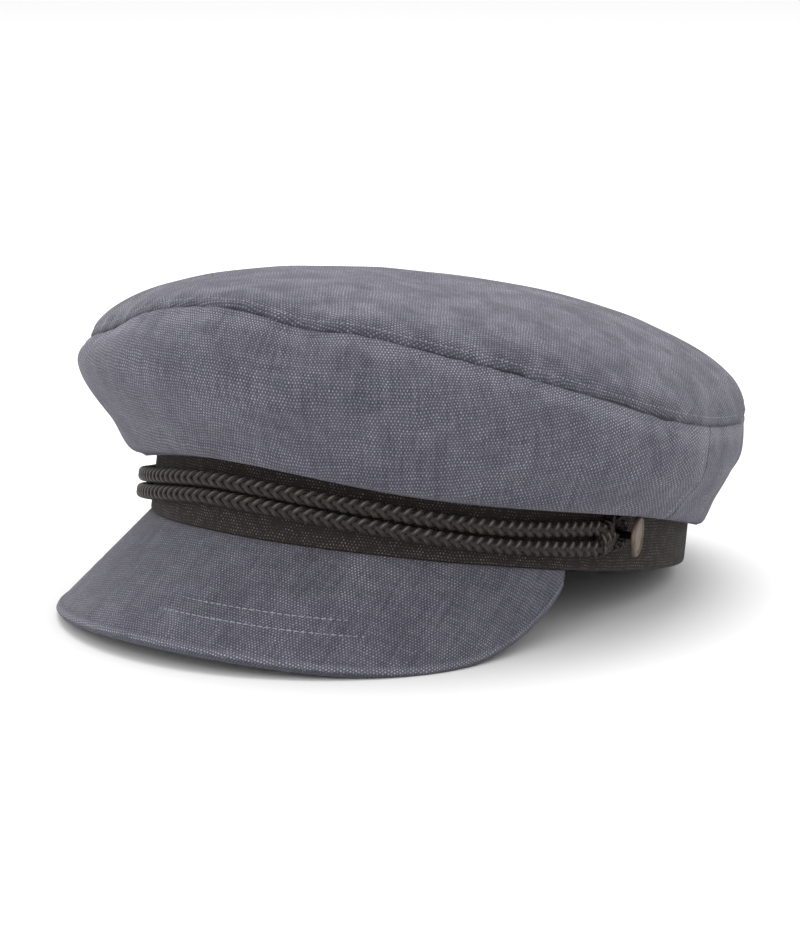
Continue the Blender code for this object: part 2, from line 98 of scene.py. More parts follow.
# %% [markdown]
# A crown like this has no simple formula, but a cut through its side is easy to draw: from the band the
# cloth drops outside it to a soft lip, swells out, and comes back in to the seam round the top. So the
# side is lofted through nine such cuts. Each holds shares of a few sizes, chosen against the
# photograph, and a smooth curve runs through them all round the head. The imported model is made from the
# same shares, so the cloth lies on its solids.

# %% Sizes and cuts of the crown
BAND_WALL = 0.0024
CLOTH_WALL = 0.0015
CROWN_OVERHANG = 0.0300
CROWN_RISE = 0.0390
DOME_RISE = 0.0240
SIDE_SEAM_ANGLE = 96.0
LIP_FULLNESS = 0.0024
FOLD_DEPTH = 0.0022
SEAM_GAP = 0.0004
TRIM_GAP = 0.0004

SIDE_SECTIONS = [
    {"angle": -180, "lip_out": 0.20, "lip": 0.48, "mid_out": 0.33, "mid": -0.04, "bulge_out": 0.42,
     "bulge": 0.28, "seam_out": 0.38, "seam": 0.54},
    {"angle": -135, "lip_out": 0.14, "lip": 0.50, "mid_out": 0.33, "mid": 0.01, "bulge_out": 0.42,
     "bulge": 0.35, "seam_out": 0.37, "seam": 0.68},
    {"angle": -90, "lip_out": 0.20, "lip": 0.71, "mid_out": 0.50, "mid": 0.12, "bulge_out": 0.80,
     "bulge": 0.48, "seam_out": 0.80, "seam": 0.62},
    {"angle": -45, "lip_out": 0.20, "lip": 0.65, "mid_out": 0.74, "mid": 0.19, "bulge_out": 0.98,
     "bulge": 0.50, "seam_out": 0.89, "seam": 0.67},
    {"angle": 0, "lip_out": 0.15, "lip": 0.88, "mid_out": 0.60, "mid": 0.22, "bulge_out": 1.00,
     "bulge": 0.66, "seam_out": 0.72, "seam": 1.15},
    {"angle": 45, "lip_out": 0.20, "lip": 0.74, "mid_out": 0.66, "mid": 0.20, "bulge_out": 0.98,
     "bulge": 0.57, "seam_out": 0.78, "seam": 1.00},
    {"angle": 90, "lip_out": 0.20, "lip": 0.70, "mid_out": 0.70, "mid": 0.13, "bulge_out": 0.78,
     "bulge": 0.47, "seam_out": 0.76, "seam": 0.63},
    {"angle": 135, "lip_out": 0.14, "lip": 0.48, "mid_out": 0.27, "mid": 0.05, "bulge_out": 0.43,
     "bulge": 0.30, "seam_out": 0.39, "seam": 0.68},
    {"angle": 180, "lip_out": 0.20, "lip": 0.48, "mid_out": 0.33, "mid": -0.04, "bulge_out": 0.42,
     "bulge": 0.28, "seam_out": 0.38, "seam": 0.54},
]

FOLDS = [
    {"angle": 20, "spread": 6, "place": 1.00, "reach": 0.30, "depth": -0.9, "sag": 0.8},
    {"angle": 30, "spread": 7, "place": 0.95, "reach": 0.30, "depth": 0.7, "sag": -0.3},
    {"angle": 6, "spread": 8, "place": 1.00, "reach": 0.30, "depth": 0.3, "sag": -0.5},
    {"angle": -44, "spread": 16, "place": 0.10, "reach": 0.26, "depth": -0.8, "sag": 0.0},
    {"angle": 60, "spread": 9, "place": 0.45, "reach": 0.40, "depth": -0.5, "sag": 0.0},
    {"angle": 100, "spread": 4, "place": 1.05, "reach": 0.33, "depth": -0.5, "sag": 0.1},
    {"angle": 112, "spread": 4, "place": 1.00, "reach": 0.40, "depth": 0.7, "sag": -0.1},
    {"angle": 119, "spread": 4, "place": 1.00, "reach": 0.43, "depth": -0.8, "sag": 0.2},
    {"angle": 128, "spread": 4, "place": 1.00, "reach": 0.43, "depth": 0.8, "sag": -0.1},
    {"angle": 137, "spread": 4, "place": 0.98, "reach": 0.40, "depth": -0.8, "sag": 0.2},
    {"angle": 134, "spread": 12, "place": 0.10, "reach": 0.18, "depth": -1.0, "sag": 0.0},
    {"angle": 158, "spread": 7, "place": 0.50, "reach": 0.33, "depth": 0.8, "sag": 0.0},
    {"angle": 178, "spread": 8, "place": 0.37, "reach": 0.33, "depth": -0.9, "sag": 0.3},
    {"angle": -160, "spread": 7, "place": 0.58, "reach": 0.36, "depth": 0.8, "sag": 0.0},
    {"angle": -138, "spread": 5, "place": 1.00, "reach": 0.40, "depth": -0.8, "sag": 0.2},
    {"angle": -124, "spread": 5, "place": 1.00, "reach": 0.43, "depth": 0.8, "sag": -0.1},
    {"angle": -112, "spread": 4, "place": 1.00, "reach": 0.40, "depth": -0.7, "sag": 0.2},
    {"angle": -80, "spread": 14, "place": 0.25, "reach": 0.33, "depth": 0.6, "sag": 0.0},
    {"angle": -24, "spread": 8, "place": 1.00, "reach": 0.26, "depth": -0.7, "sag": 0.6},
]


def rows_value(rows, column, angle):
    """The column's value at an angle, on a smooth curve through the rows."""
    angles = [row["angle"] for row in rows]
    angle = min(max(angle, angles[0]), angles[-1])
    index = max(i for i, a in enumerate(angles[:-1]) if a <= angle)
    ring = angles[-1] - angles[0] == 360
    spots = [index - 1, index, index + 1, index + 2]
    if ring:
        spots = [i % (len(rows) - 1) for i in spots]
    before, start, end, after = [rows[min(max(i, 0), len(rows) - 1)][column] for i in spots]
    way = (angle - angles[index]) / (angles[index + 1] - angles[index])
    tangent_in = (end - before) / 2
    tangent_out = (after - start) / 2
    return (
        start * (1 + 2 * way) * (1 - way) ** 2
        + end * (3 - 2 * way) * way**2
        + tangent_in * way * (1 - way) ** 2
        - tangent_out * way**2 * (1 - way)
    )


def curve_point(points, way):
    """A point at way 0 to 1 along a smooth curve through points, evenly spread over their spans."""
    place = way * (len(points) - 1)
    index = min(int(place), len(points) - 2)
    local = place - index
    before = points[max(index - 1, 0)]
    after = points[min(index + 2, len(points) - 1)]
    start, end = points[index], points[index + 1]
    blended = []
    for a, b, c, d in zip(before, start, end, after):
        slope, bend, twist = c - a, 2 * a - 5 * b + 4 * c - d, 3 * b - a - 3 * c + d
        blended.append((2 * b + slope * local + bend * local**2 + twist * local**3) / 2)
    return tuple(blended)


def outward(angle):
    """The hat band's outward direction at an angle from the front, positive to the wearer's left."""
    turn = math.radians(angle)
    return Vector((math.sin(turn) / BAND_HALF_WIDTH, -math.cos(turn) / BAND_HALF_LENGTH, 0)).normalized()


def band_point(angle, out=0.0, height=0.0):
    """A point at a distance outside the hat band's outer face."""
    turn = math.radians(angle)
    foot = Vector((BAND_HALF_WIDTH * math.sin(turn), -BAND_HALF_LENGTH * math.cos(turn), height))
    return foot + outward(angle) * out


def arc_per_degree(angle):
    """Length along the hat band of one degree, at an angle."""
    turn = math.radians(angle)
    return math.radians(math.hypot(BAND_HALF_WIDTH * math.cos(turn), BAND_HALF_LENGTH * math.sin(turn)))


def fold_offset(angle, place):
    """How far the folds push the cloth out, and how far down, at this angle and place."""
    out, down = 0.0, 0.0
    for fold in FOLDS:
        away = (angle - fold["angle"] + 180) % 360 - 180
        around = away / fold["spread"]
        along = (place - fold["place"]) / fold["reach"]
        swell = math.exp(-(around**2) - along**2) * FOLD_DEPTH
        out += fold["depth"] * swell
        down += fold["sag"] * swell
    return out, down


def side_profile(angle):
    """Key points (out, height) of the side cloth's middle surface, from the band's upper edge to the seam."""
    row = {column: rows_value(SIDE_SECTIONS, column, angle) for column in SIDE_SECTIONS[0]}
    seat_height = BAND_HEIGHT + SEAM_GAP + CLOTH_WALL / 2
    clear = SEAM_GAP + CLOTH_WALL / 2
    lip = (CROWN_OVERHANG * row["lip_out"], BAND_HEIGHT * row["lip"] + CLOTH_WALL / 2)
    hanging = (clear * 1.8, lip[1] + (seat_height - lip[1]) * 0.5)
    points = [(-BAND_WALL / 2, seat_height), (clear * 0.75, seat_height), hanging, lip]
    for key in ("mid", "bulge", "seam"):
        points.append((CROWN_OVERHANG * row[key + "_out"], BAND_HEIGHT + CROWN_RISE * row[key]))
    return points


def side_run(angle, ways):
    """The side cloth's points at one angle, way 0 at the band, 0.5 at the lip and 1 at the seam."""
    wrapped = (angle + 180) % 360 - 180
    profile = side_profile(wrapped)
    points = []
    for way in ways:
        out, height = curve_point(profile, way)
        above_lip = min(1.0, max(0.0, (way - 0.5) / 0.12))
        height -= LIP_FULLNESS * math.sin(math.pi * above_lip) ** 2
        settle = min(1.0, max(0.0, (way - 0.35) / 0.15))
        fold_out, fold_down = fold_offset(wrapped, way * 2 - 1)
        points.append(band_point(wrapped, out + fold_out * settle, height - fold_down * settle))
    return points


def dome_run(angle, inwards):
    """The top cloth's points at one angle, inward 0 at the seam to 1 at the middle."""
    wrapped = (angle + 180) % 360 - 180
    seam = side_run(wrapped, [1.0])[0]
    apex = BAND_HEIGHT + CROWN_RISE + DOME_RISE
    seam_out, seam_down = fold_offset(wrapped, 1.0)
    points = []
    for inward in inwards:
        across = 1 - inward
        rise = math.sqrt(max(0.0, 1 - across**2.1))
        point = Vector((seam.x * across, seam.y * across, seam.z + (apex - seam.z) * rise))
        fold_out, fold_down = fold_offset(wrapped, 1 + inward * 2)
        calm = min(1.0, across * 2)
        spread = outward(wrapped) * (fold_out * calm - seam_out * across)
        points.append(point + spread - Vector((0, 0, fold_down * calm - seam_down * across)))
    return points


print("side at the front:", [tuple(round(1000 * v, 1) for v in point) for point in side_profile(0)])

# %% [markdown]
# Materials are written as small expressions. The class below wraps one output of a node, and Python's
# operators on it add Math nodes, so that a mask reads like the sum that it is. Every other node comes
# from one method, which is given the node's type, its settings and what its sockets hold. The settings
# go first, because they decide which sockets a node has.

# %% Shader helper


class Wire:
    """An output in a material, on which Python's operators add Math nodes."""

    def __init__(self, tree, socket):
        self.tree = tree
        self.socket = socket

    def node(self, kind, settings, sockets, output=0):
        made = self.tree.nodes.new(kind)
        for name, setting in settings.items():
            setattr(made, name, setting)
        for key, value in sockets.items():
            if isinstance(value, Wire):
                self.tree.links.new(value.socket, made.inputs[key])
            else:
                made.inputs[key].default_value = value
        return Wire(self.tree, made.outputs[output])

    def math(self, operation, first, second=0.0):
        return self.node("ShaderNodeMath", {"operation": operation}, {0: first, 1: second})

    def __add__(self, other):
        return self.math("ADD", self, other)

    def __sub__(self, other):
        return self.math("SUBTRACT", self, other)

    def __mul__(self, other):
        return self.math("MULTIPLY", self, other)

    def __truediv__(self, other):
        return self.math("DIVIDE", self, other)

    def __pow__(self, other):
        return self.math("POWER", self, other)

    def __rsub__(self, other):
        return self.math("SUBTRACT", other, self)

    __radd__ = __add__
    __rmul__ = __mul__

    def clip(self, low, high):
        """0 below low, 1 above high and an even blend between."""
        limits = {"From Min": low, "From Max": high}
        return self.node("ShaderNodeMapRange", {"interpolation_type": "SMOOTHSTEP"}, {"Value": self, **limits})

    def mix(self, first, second):
        """A colour between two, by this mask."""
        sockets = {"Factor": self, "A": first, "B": second}
        return self.mixed(sockets)

    def mixed(self, sockets):
        made = self.tree.nodes.new("ShaderNodeMix")
        made.data_type = "RGBA"
        for key, value in sockets.items():
            place = next(s for s in made.inputs if s.name == key and s.enabled)
            if isinstance(value, Wire):
                self.tree.links.new(value.socket, place)
            else:
                place.default_value = value
        return Wire(self.tree, next(s for s in made.outputs if s.enabled))


def colour(red, green, blue):
    return (red, green, blue, 1.0)


def new_material(name, **uniform):
    """A material with its even values set. Returns it, its shader's inputs and a wire of its cloth map."""
    made = bpy.data.materials.new(name)
    made.use_nodes = True
    tree = made.node_tree
    shader = tree.nodes["Principled BSDF"]
    for socket, value in uniform.items():
        shader.inputs[socket.replace("_", " ")].default_value = value
    start = tree.nodes.new("ShaderNodeUVMap")
    start.uv_map = "ClothUV"
    return made, shader, Wire(tree, start.outputs[0])


def plug(wire, shader, socket):
    wire.tree.links.new(wire.socket, shader.inputs[socket])


# %% [markdown]
# The canvas is a plain weave: every thread goes over one and under the next. The threads that show as
# light dots are the paler ones, and they stand 0.55 mm apart, while the crossing threads stand 0.94 mm
# apart. The product of two cosines is above zero exactly where the pale thread lies on top, so that one
# expression gives the staggered dots, and its size gives the relief of every float. Real yarn is never
# even: some dots are brighter, some threads are thicker, and washing has faded the cloth in soft clouds.

# %% Canvas
PALE_PITCH = 0.000550
CROSS_PITCH = 0.000950
PALE_YARN = colour(0.262, 0.258, 0.305)
# The worn yarn colour shows in faded clouds, and it also gives the painted highlight along the peak's edge.
WORN_AND_PAINTED_HIGHLIGHT_YARN = colour(0.385, 0.380, 0.425)
DARK_YARN = colour(0.053, 0.052, 0.068)
FADED_YARN = colour(0.104, 0.102, 0.127)
# The next colour is painted shade: the dark lines in the seams, a band round the crown's lip and the cloth under the
# peak's edge.
PAINTED_SHADE = colour(0.024, 0.023, 0.030)


def weave_of(cloth_map, pale_pitch, cross_pitch):
    """Masks of a plain weave: dots where the pale thread is on top, relief of all floats, chance per dot."""
    wobble = cloth_map.node("ShaderNodeTexNoise", {"noise_dimensions": "2D"},
                            {"Vector": cloth_map, "Scale": 160.0, "Detail": 2.0}, "Color")
    shifted = cloth_map.node("ShaderNodeVectorMath", {"operation": "MULTIPLY_ADD"},
                             {0: wobble, 1: (0.0011, 0.0011, 0.0), 2: cloth_map})
    split = cloth_map.tree.nodes.new("ShaderNodeSeparateXYZ")
    cloth_map.tree.links.new(shifted.socket, split.inputs[0])
    across = Wire(cloth_map.tree, split.outputs[0]) * (1 / pale_pitch)
    down = Wire(cloth_map.tree, split.outputs[1]) * (1 / cross_pitch)
    cross_wave = down.math("COSINE", down * math.pi)
    float_side = across.math("COSINE", across * math.pi) * cross_wave
    dots = (float_side * across.math("ABSOLUTE", cross_wave) ** 1.6).clip(0.12, 0.66)
    relief = float_side.math("ABSOLUTE", float_side) ** 0.6
    half_sum = across.math("ROUND", (across + down) * 0.5)
    half_difference = across.math("ROUND", (across - down) * 0.5)
    cell = across.node("ShaderNodeCombineXYZ", {}, {"X": half_sum, "Y": half_difference})
    chance = across.node("ShaderNodeTexWhiteNoise", {"noise_dimensions": "2D"}, {"Vector": cell})
    return across, down, dots, relief, chance


def canvas_material():
    made, shader, cloth_map = new_material("canvas_cloth", Roughness=0.95, Sheen_Weight=0.22,
                                           Sheen_Roughness=0.45, Specular_IOR_Level=0.15)
    shader.inputs["Sheen Tint"].default_value = colour(0.86, 0.85, 0.92)
    across, down, dots, relief, chance = weave_of(cloth_map, PALE_PITCH, CROSS_PITCH)
    thread_place = across.node("ShaderNodeCombineXYZ", {}, {"X": across.math("ROUND", across) * 3.7,
                                                            "Y": down * 0.05})
    pale_thread = across.node("ShaderNodeTexNoise", {"noise_dimensions": "2D"},
                              {"Vector": thread_place, "Scale": 1.0, "Detail": 1.0})
    cross_place = across.node("ShaderNodeCombineXYZ", {}, {"X": across * 0.05,
                                                           "Y": across.math("ROUND", down) * 3.7})
    cross_thread = across.node("ShaderNodeTexNoise", {"noise_dimensions": "2D"},
                               {"Vector": cross_place, "Scale": 1.0, "Detail": 1.0})
    clouds = cloth_map.node("ShaderNodeTexNoise", {"noise_dimensions": "2D"},
                            {"Vector": cloth_map, "Scale": 60.0, "Detail": 6.0, "Roughness": 0.75})
    # This attribute is real wear where above zero, except along the peak's edge, where it is a painted highlight. Below
    # zero it is painted shade.
    wear_and_painted_light = across.node("ShaderNodeAttribute", {"attribute_name": "wear_and_painted_light"}, {}, "Fac")
    strength = dots * (0.45 + 0.60 * chance) * (0.40 + 0.75 * pale_thread + 0.35 * clouds + 0.5 * wear_and_painted_light)
    ground = (0.25 * cross_thread + 0.35 * pale_thread + 0.40 * clouds + 0.3 * wear_and_painted_light).clip(0.30, 0.72)
    pale = (clouds + 0.35 * wear_and_painted_light).clip(0.35, 0.75).mix(PALE_YARN, WORN_AND_PAINTED_HIGHLIGHT_YARN)
    cloth = strength.math("MINIMUM", strength, 1.0).mix(ground.mix(DARK_YARN, FADED_YARN), pale)
    # Where the attribute falls below zero, the cloth turns to the painted shade colour.
    plug((0.0 - wear_and_painted_light).clip(0.45, 1.1).mix(cloth, PAINTED_SHADE), shader, "Base Color")
    bump = across.node("ShaderNodeBump", {}, {"Strength": 0.55, "Distance": 0.00025,
                                              "Height": relief + 0.4 * dots + 0.6 * pale_thread})
    plug(bump, shader, "Normal")
    return made


canvas = canvas_material()
print("canvas nodes:", len(canvas.node_tree.nodes))

# %% [markdown]
# The hat band is a darker, softer cloth of the same build, brown-black with only a few pale specks.

# %% Band cloth
BAND_DARK = colour(0.0205, 0.0165, 0.0160)
BAND_PALE = colour(0.145, 0.122, 0.116)
BAND_PITCH = 0.00056
BAND_CROSS_PITCH = 0.00098


def band_material():
    made, shader, cloth_map = new_material("band_weave", Roughness=0.92, Sheen_Weight=0.06,
                                           Sheen_Roughness=0.5, Specular_IOR_Level=0.15)
    across, down, dots, relief, chance = weave_of(cloth_map, BAND_PITCH, BAND_CROSS_PITCH)
    clouds = cloth_map.node("ShaderNodeTexNoise", {"noise_dimensions": "2D"},
                            {"Vector": cloth_map, "Scale": 260.0, "Detail": 5.0, "Roughness": 0.7})
    strength = dots * (0.25 + 0.75 * chance) * (clouds.clip(0.35, 0.65) * 1.3 + 0.10)
    plug(strength.mix(BAND_DARK, BAND_PALE), shader, "Base Color")
    bump = across.node("ShaderNodeBump", {}, {"Strength": 0.5, "Distance": 0.00022, "Height": relief})
    plug(bump, shader, "Normal")
    return made


band_weave = band_material()

# %% [markdown]
# Plaited cord has a slight gloss on each strand, and fine fibres run along it. The strand's own map gives
# them: its first number goes round the strand and its second along it. Where a strand stands out furthest
# and faces up, a highlight is painted pale into its colour, and the mesh carries that painted highlight.

# %% Cord yarn
CORD_DARK = colour(0.0215, 0.0178, 0.0160)
CORD_PALE = colour(0.066, 0.056, 0.050)
# The glint colour is a painted highlight, laid where a strand stands out furthest and faces up.
CORD_GLINT = colour(0.230, 0.200, 0.176)


def cord_material():
    made, shader, strand_map = new_material("cord_yarn", Roughness=0.40, Sheen_Weight=0.02,
                                            Sheen_Roughness=0.4, Specular_IOR_Level=0.16)
    stretched = strand_map.node("ShaderNodeVectorMath", {"operation": "MULTIPLY"},
                                {0: strand_map, 1: (9.0, 400.0, 1.0)})
    fibres = strand_map.node("ShaderNodeTexNoise", {"noise_dimensions": "2D"},
                             {"Vector": stretched, "Scale": 1.0, "Detail": 2.0})
    wear_and_painted_light = strand_map.node("ShaderNodeTexNoise", {"noise_dimensions": "2D"},
                           {"Vector": strand_map, "Scale": 210.0, "Detail": 2.0})
    mask = fibres.clip(0.45, 0.75) * wear_and_painted_light.clip(0.35, 0.7)
    # The painted highlight on the strands' crests, from the mesh.
    painted_crest_highlight = strand_map.node("ShaderNodeAttribute", {"attribute_name": "wear_and_painted_light"}, {}, "Fac")
    glint = painted_crest_highlight.clip(0.15, 0.90) * wear_and_painted_light.clip(0.42, 0.58)
    plug(glint.mix(mask.mix(CORD_DARK, CORD_PALE), CORD_GLINT), shader, "Base Color")
    bump = strand_map.node("ShaderNodeBump", {}, {"Strength": 0.5, "Distance": 0.0002, "Height": fibres})
    plug(bump, shader, "Normal")
    return made


cord_yarn = cord_material()

# %% [markdown]
# The buttons are a dull warm-grey metal with a fine brushed grain and a little dark tarnish, and the
# shank under each head is painted almost black as shade.

# %% Button metal and sewing thread
METAL_BRIGHT = colour(0.160, 0.122, 0.095)
METAL_DARK = colour(0.085, 0.065, 0.050)
THREAD_PALE = colour(0.33, 0.325, 0.37)
THREAD_DARK = colour(0.20, 0.197, 0.235)


def metal_material():
    made, shader, cloth_map = new_material("button_metal", Metallic=0.85)
    place = cloth_map.node("ShaderNodeTexCoord", {}, {}, "Object")
    grain = cloth_map.node("ShaderNodeTexNoise", {}, {"Vector": place, "Scale": 1800.0, "Detail": 3.0})
    stain = cloth_map.node("ShaderNodeTexNoise", {}, {"Vector": place, "Scale": 260.0, "Detail": 4.0})
    shank_shade = cloth_map.node("ShaderNodeAttribute", {"attribute_name": "wear_and_painted_light"}, {}, "Fac")
    face = stain.clip(0.3, 0.8).mix(METAL_BRIGHT, METAL_DARK)
    # Painted shade: where the attribute is below zero, on the shank under the head, the metal is almost black.
    plug((0.0 - shank_shade).clip(0.2, 0.8).mix(face, colour(0.012, 0.010, 0.009)), shader, "Base Color")
    plug(0.38 + 0.3 * grain, shader, "Roughness")
    plug(cloth_map.node("ShaderNodeBump", {}, {"Strength": 0.25, "Distance": 0.00008, "Height": grain}),
         shader, "Normal")
    return made


def thread_material():
    made, shader, strand_map = new_material("sewing_thread", Roughness=0.8, Sheen_Weight=0.2)
    twist = strand_map.node("ShaderNodeTexNoise", {"noise_dimensions": "2D"},
                            {"Vector": strand_map, "Scale": 900.0, "Detail": 1.0})
    plug(twist.clip(0.3, 0.7).mix(THREAD_DARK, THREAD_PALE), shader, "Base Color")
    return made


button_metal = metal_material()
sewing_thread = thread_material()
print("materials:", [material.name for material in (canvas, band_weave, cord_yarn, button_metal, sewing_thread)])

# %% [markdown]
# Each cloth piece is a grid of points: columns go round the head and rows up the cloth. A grid is easy
# to relieve before it becomes a mesh: the normals come from its own differences, so seams, puckers and
# soft unevenness are added along them as plain arrays. A Solidify modifier then gives the cloth its wall.

# %% Cloth grids


def spans(counts, ease=None):
    """Ways 0 to 1 through equal spans, with a count of steps in each."""
    ways = []
    for index, count in enumerate(counts):
        ways += [(index + step / count) / len(counts) for step in range(count)]
    return ways + [1.0]


def grid_normals(points, ring):
    """Unit normals of a grid of points, rows by columns."""
    if ring:
        along = np.roll(points, -1, axis=1) - np.roll(points, 1, axis=1)
    else:
        along = np.gradient(points, axis=1)
    up_cloth = np.gradient(points, axis=0)
    normals = np.cross(along, up_cloth)
    return normals / np.maximum(np.linalg.norm(normals, axis=2, keepdims=True), 1e-12)


def run_lengths(points, axis):
    """How far each point of a grid lies along its row or column."""
    steps = np.linalg.norm(np.diff(points, axis=axis), axis=2)
    start = np.zeros_like(np.take(steps, [0], axis=axis))
    return np.concatenate([start, np.cumsum(steps, axis=axis)], axis=axis)


def soft_noise(points, size, seed):
    """Smooth noise of about one size over a grid of points, between -1 and 1."""
    shift = Vector((seed * 1.37, seed * 2.11, seed * 0.73))
    flat = [noise.noise(Vector(point) / size + shift) for point in points.reshape(-1, 3)]
    return np.array(flat).reshape(points.shape[:2])


def cloth_piece(name, points, cloth_map, ring, material, wall, tip=None, wear_and_painted_light=None):
    """A mesh piece from a grid of points of the cap's frame, with its cloth map in metres and its attribute of worn
    spots, painted highlights and painted shade.
    """
    rows, columns = points.shape[:2]
    spots = [tuple(spot) for spot in to_world(points.reshape(-1, 3))]
    map_spots = cloth_map.reshape(-1, 2)
    wide = columns if ring else columns - 1
    faces = []
    for row in range(rows - 1):
        for column in range(wide):
            near, far, after = row * columns, (row + 1) * columns, (column + 1) % columns
            faces.append((near + column, near + after, far + after, far + column))
    if tip is not None:
        spots.append(tuple(to_world([tip])[0]))
        map_spots = np.vstack([map_spots, [[0.0, 0.0]]])
        last = (rows - 1) * columns
        faces += [(last + column, last + (column + 1) % columns, len(spots) - 1) for column in range(wide)]
    mesh = bpy.data.meshes.new(name)
    mesh.from_pydata(spots, [], faces)
    layer = mesh.uv_layers.new(name="ClothUV")
    corner_spots = np.empty(len(mesh.loops), int)
    mesh.loops.foreach_get("vertex_index", corner_spots)
    layer.data.foreach_set("uv", map_spots[corner_spots].astype(np.float32).ravel())
    if wear_and_painted_light is not None:
        worn = mesh.attributes.new("wear_and_painted_light", "FLOAT", "POINT")
        worn.data.foreach_set("value", np.resize(wear_and_painted_light.ravel(), len(spots)).astype(np.float32))
    mesh.materials.append(material)
    mesh.shade_smooth()
    made = bpy.data.objects.new(name, mesh)
    bpy.context.scene.collection.objects.link(made)
    if wall:
        solidify = made.modifiers.new("wall", "SOLIDIFY")
        solidify.thickness = wall
        solidify.offset = 0
    return made


def dress(piece, nodes):
    """The piece moves with the cap and stands for its nodes."""
    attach(piece, "root")
    if nodes:
        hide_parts(*nodes)
    triangles = sum(len(face.vertices) - 2 for face in piece.data.polygons)
    print(f"{piece.name}: {triangles} triangles before its modifiers")
    return piece


# %% [markdown]
# The side cloth is sewn to the top with its edge turned in, so it rolls into the seam, and a row of
# stitches a few millimetres below pulls a shallow channel with little puckers. The cloth is cut as part
# of a wide ring, like a fan that opens upwards, so its threads turn against the level as the panel goes
# round the head. The map below unrolls the panel into that fan.

# %% Side panels
SEAM_ROLL = 0.0002
STITCH_INSET = 0.0032
PUCKER_PITCH = 0.0110
FAN_RADIUS = 0.338
FAN_START = -0.06
SEAM_ALLOWANCE = 0.0022
LIP_ROW = 11
MAP_EASE = ((0.50, 0.66, 0.76, 0.84, 0.92), (0.74, 0.74, 0.82, 1.02, 1.12))


def seam_relief(away, along, seed):
    """How far the cloth stands out near a sewn seam, by distance from it and along it."""
    roll = -SEAM_ROLL * np.exp(-((away / 0.0007) ** 2))
    ridge = 0.00012 * np.exp(-(((away - 0.0016) / 0.0012) ** 2))
    channel = -0.00014 * np.exp(-(((away - STITCH_INSET) / 0.0007) ** 2))
    waver = np.sin(2 * np.pi * along / PUCKER_PITCH + 3.4 * np.sin(along * 41.0 + seed))
    pucker = 0.00020 * waver * np.exp(-(((away - 0.0040) / 0.0040) ** 2))
    return roll + ridge + channel + pucker


def seam_wear_and_shade(away, points):
    """Wear near a seam: 1 for cloth worn pale, and -1 for painted shade on the thin dark line of the seam itself."""
    patches = 0.55 + 0.9 * soft_noise(points, 0.009, 31)
    return np.clip(np.exp(-(((away - 0.0030) / 0.0030) ** 2)) * patches, 0, 1) - np.exp(-((away / 0.00016) ** 2))


def uneven(points, seed):
    """Soft unevenness of washed canvas."""
    return 0.00055 * soft_noise(points, 0.034, seed) + 0.00016 * soft_noise(points, 0.011, seed + 5)


def side_cloth(name, first, last, columns, seed):
    """One side panel's grid and its map, from the band up to the seam."""
    ways = spans((1, 2, 8, 14, 12))
    ways = [way * 5 / 6 for way in ways]
    ways += [5 / 6 + (1 - (1 - step / 18) ** 1.9) / 6 for step in range(1, 19)]
    angles = np.linspace(first, last, columns)
    points = np.array([side_run(angle, ways) for angle in angles]).transpose(1, 0, 2)
    heights = run_lengths(points, 0)
    away = heights[-1:] - heights
    widest = int(len(ways) * 0.7)
    along = run_lengths(points, 1)[widest]
    along -= np.interp(0.0 if first < 0 else 180.0, angles, along)
    normals = grid_normals(points, False)
    shown = np.clip((heights - heights[13]) / 0.01, 0, 1)
    relief = seam_relief(away, along[None, :], seed) + uneven(points, seed) * shown
    points = points + normals * relief[..., None]
    turned_in = points[-1] - normals[-1] * SEAM_ALLOWANCE
    points = np.concatenate([points, turned_in[None]])
    heights = np.concatenate([heights, heights[-1:] + SEAM_ALLOWANCE])
    eased = np.interp(ways + [1.0], *MAP_EASE)
    rises = np.concatenate([heights[:1], np.cumsum(np.diff(heights, axis=0) * eased[:-1, None], axis=0)])
    reach = FAN_RADIUS + rises - rises[widest]
    turn = along[None, :] / FAN_RADIUS + FAN_START
    cloth_map = np.stack([reach * np.sin(turn), reach * np.cos(turn)], axis=2)
    wear_and_painted_light = seam_wear_and_shade(np.concatenate([away, away[-1:]]), points)
    # Painted shade: a darker band round the crown's lip.
    wear_and_painted_light -= 0.7 * np.exp(-(((heights - heights[LIP_ROW]) / 0.0020) ** 2))
    return points, cloth_map, wear_and_painted_light


seam_half = SEAM_GAP / arc_per_degree(SIDE_SEAM_ANGLE) / 2
front_points, front_map, front_wear_and_shade = side_cloth("front", -SIDE_SEAM_ANGLE + seam_half,
                                                 SIDE_SEAM_ANGLE - seam_half, 360, 1)
front_panel = cloth_piece("front_panel_cloth", front_points, front_map, False, canvas, CLOTH_WALL, wear_and_painted_light=front_wear_and_shade)
dress(front_panel, ["crown_front_panel"])

back_points, back_map, back_wear_and_shade = side_cloth("back", SIDE_SEAM_ANGLE + seam_half,
                                              360 - SIDE_SEAM_ANGLE - seam_half, 250, 2)
back_panel = cloth_piece("back_panel_cloth", back_points, back_map, False, canvas, CLOTH_WALL, wear_and_painted_light=back_wear_and_shade)
dress(back_panel, ["crown_back_panel"])

# %% [markdown]
# The top is an oval of the same canvas, and its grain lies at an angle to the cap's axis, as it falls
# when the ovals are cut close together. Near its edge it rolls into the seam as the side does.

# %% Top
TOP_GRAIN = math.radians(-50)
TOP_COLUMNS = 480


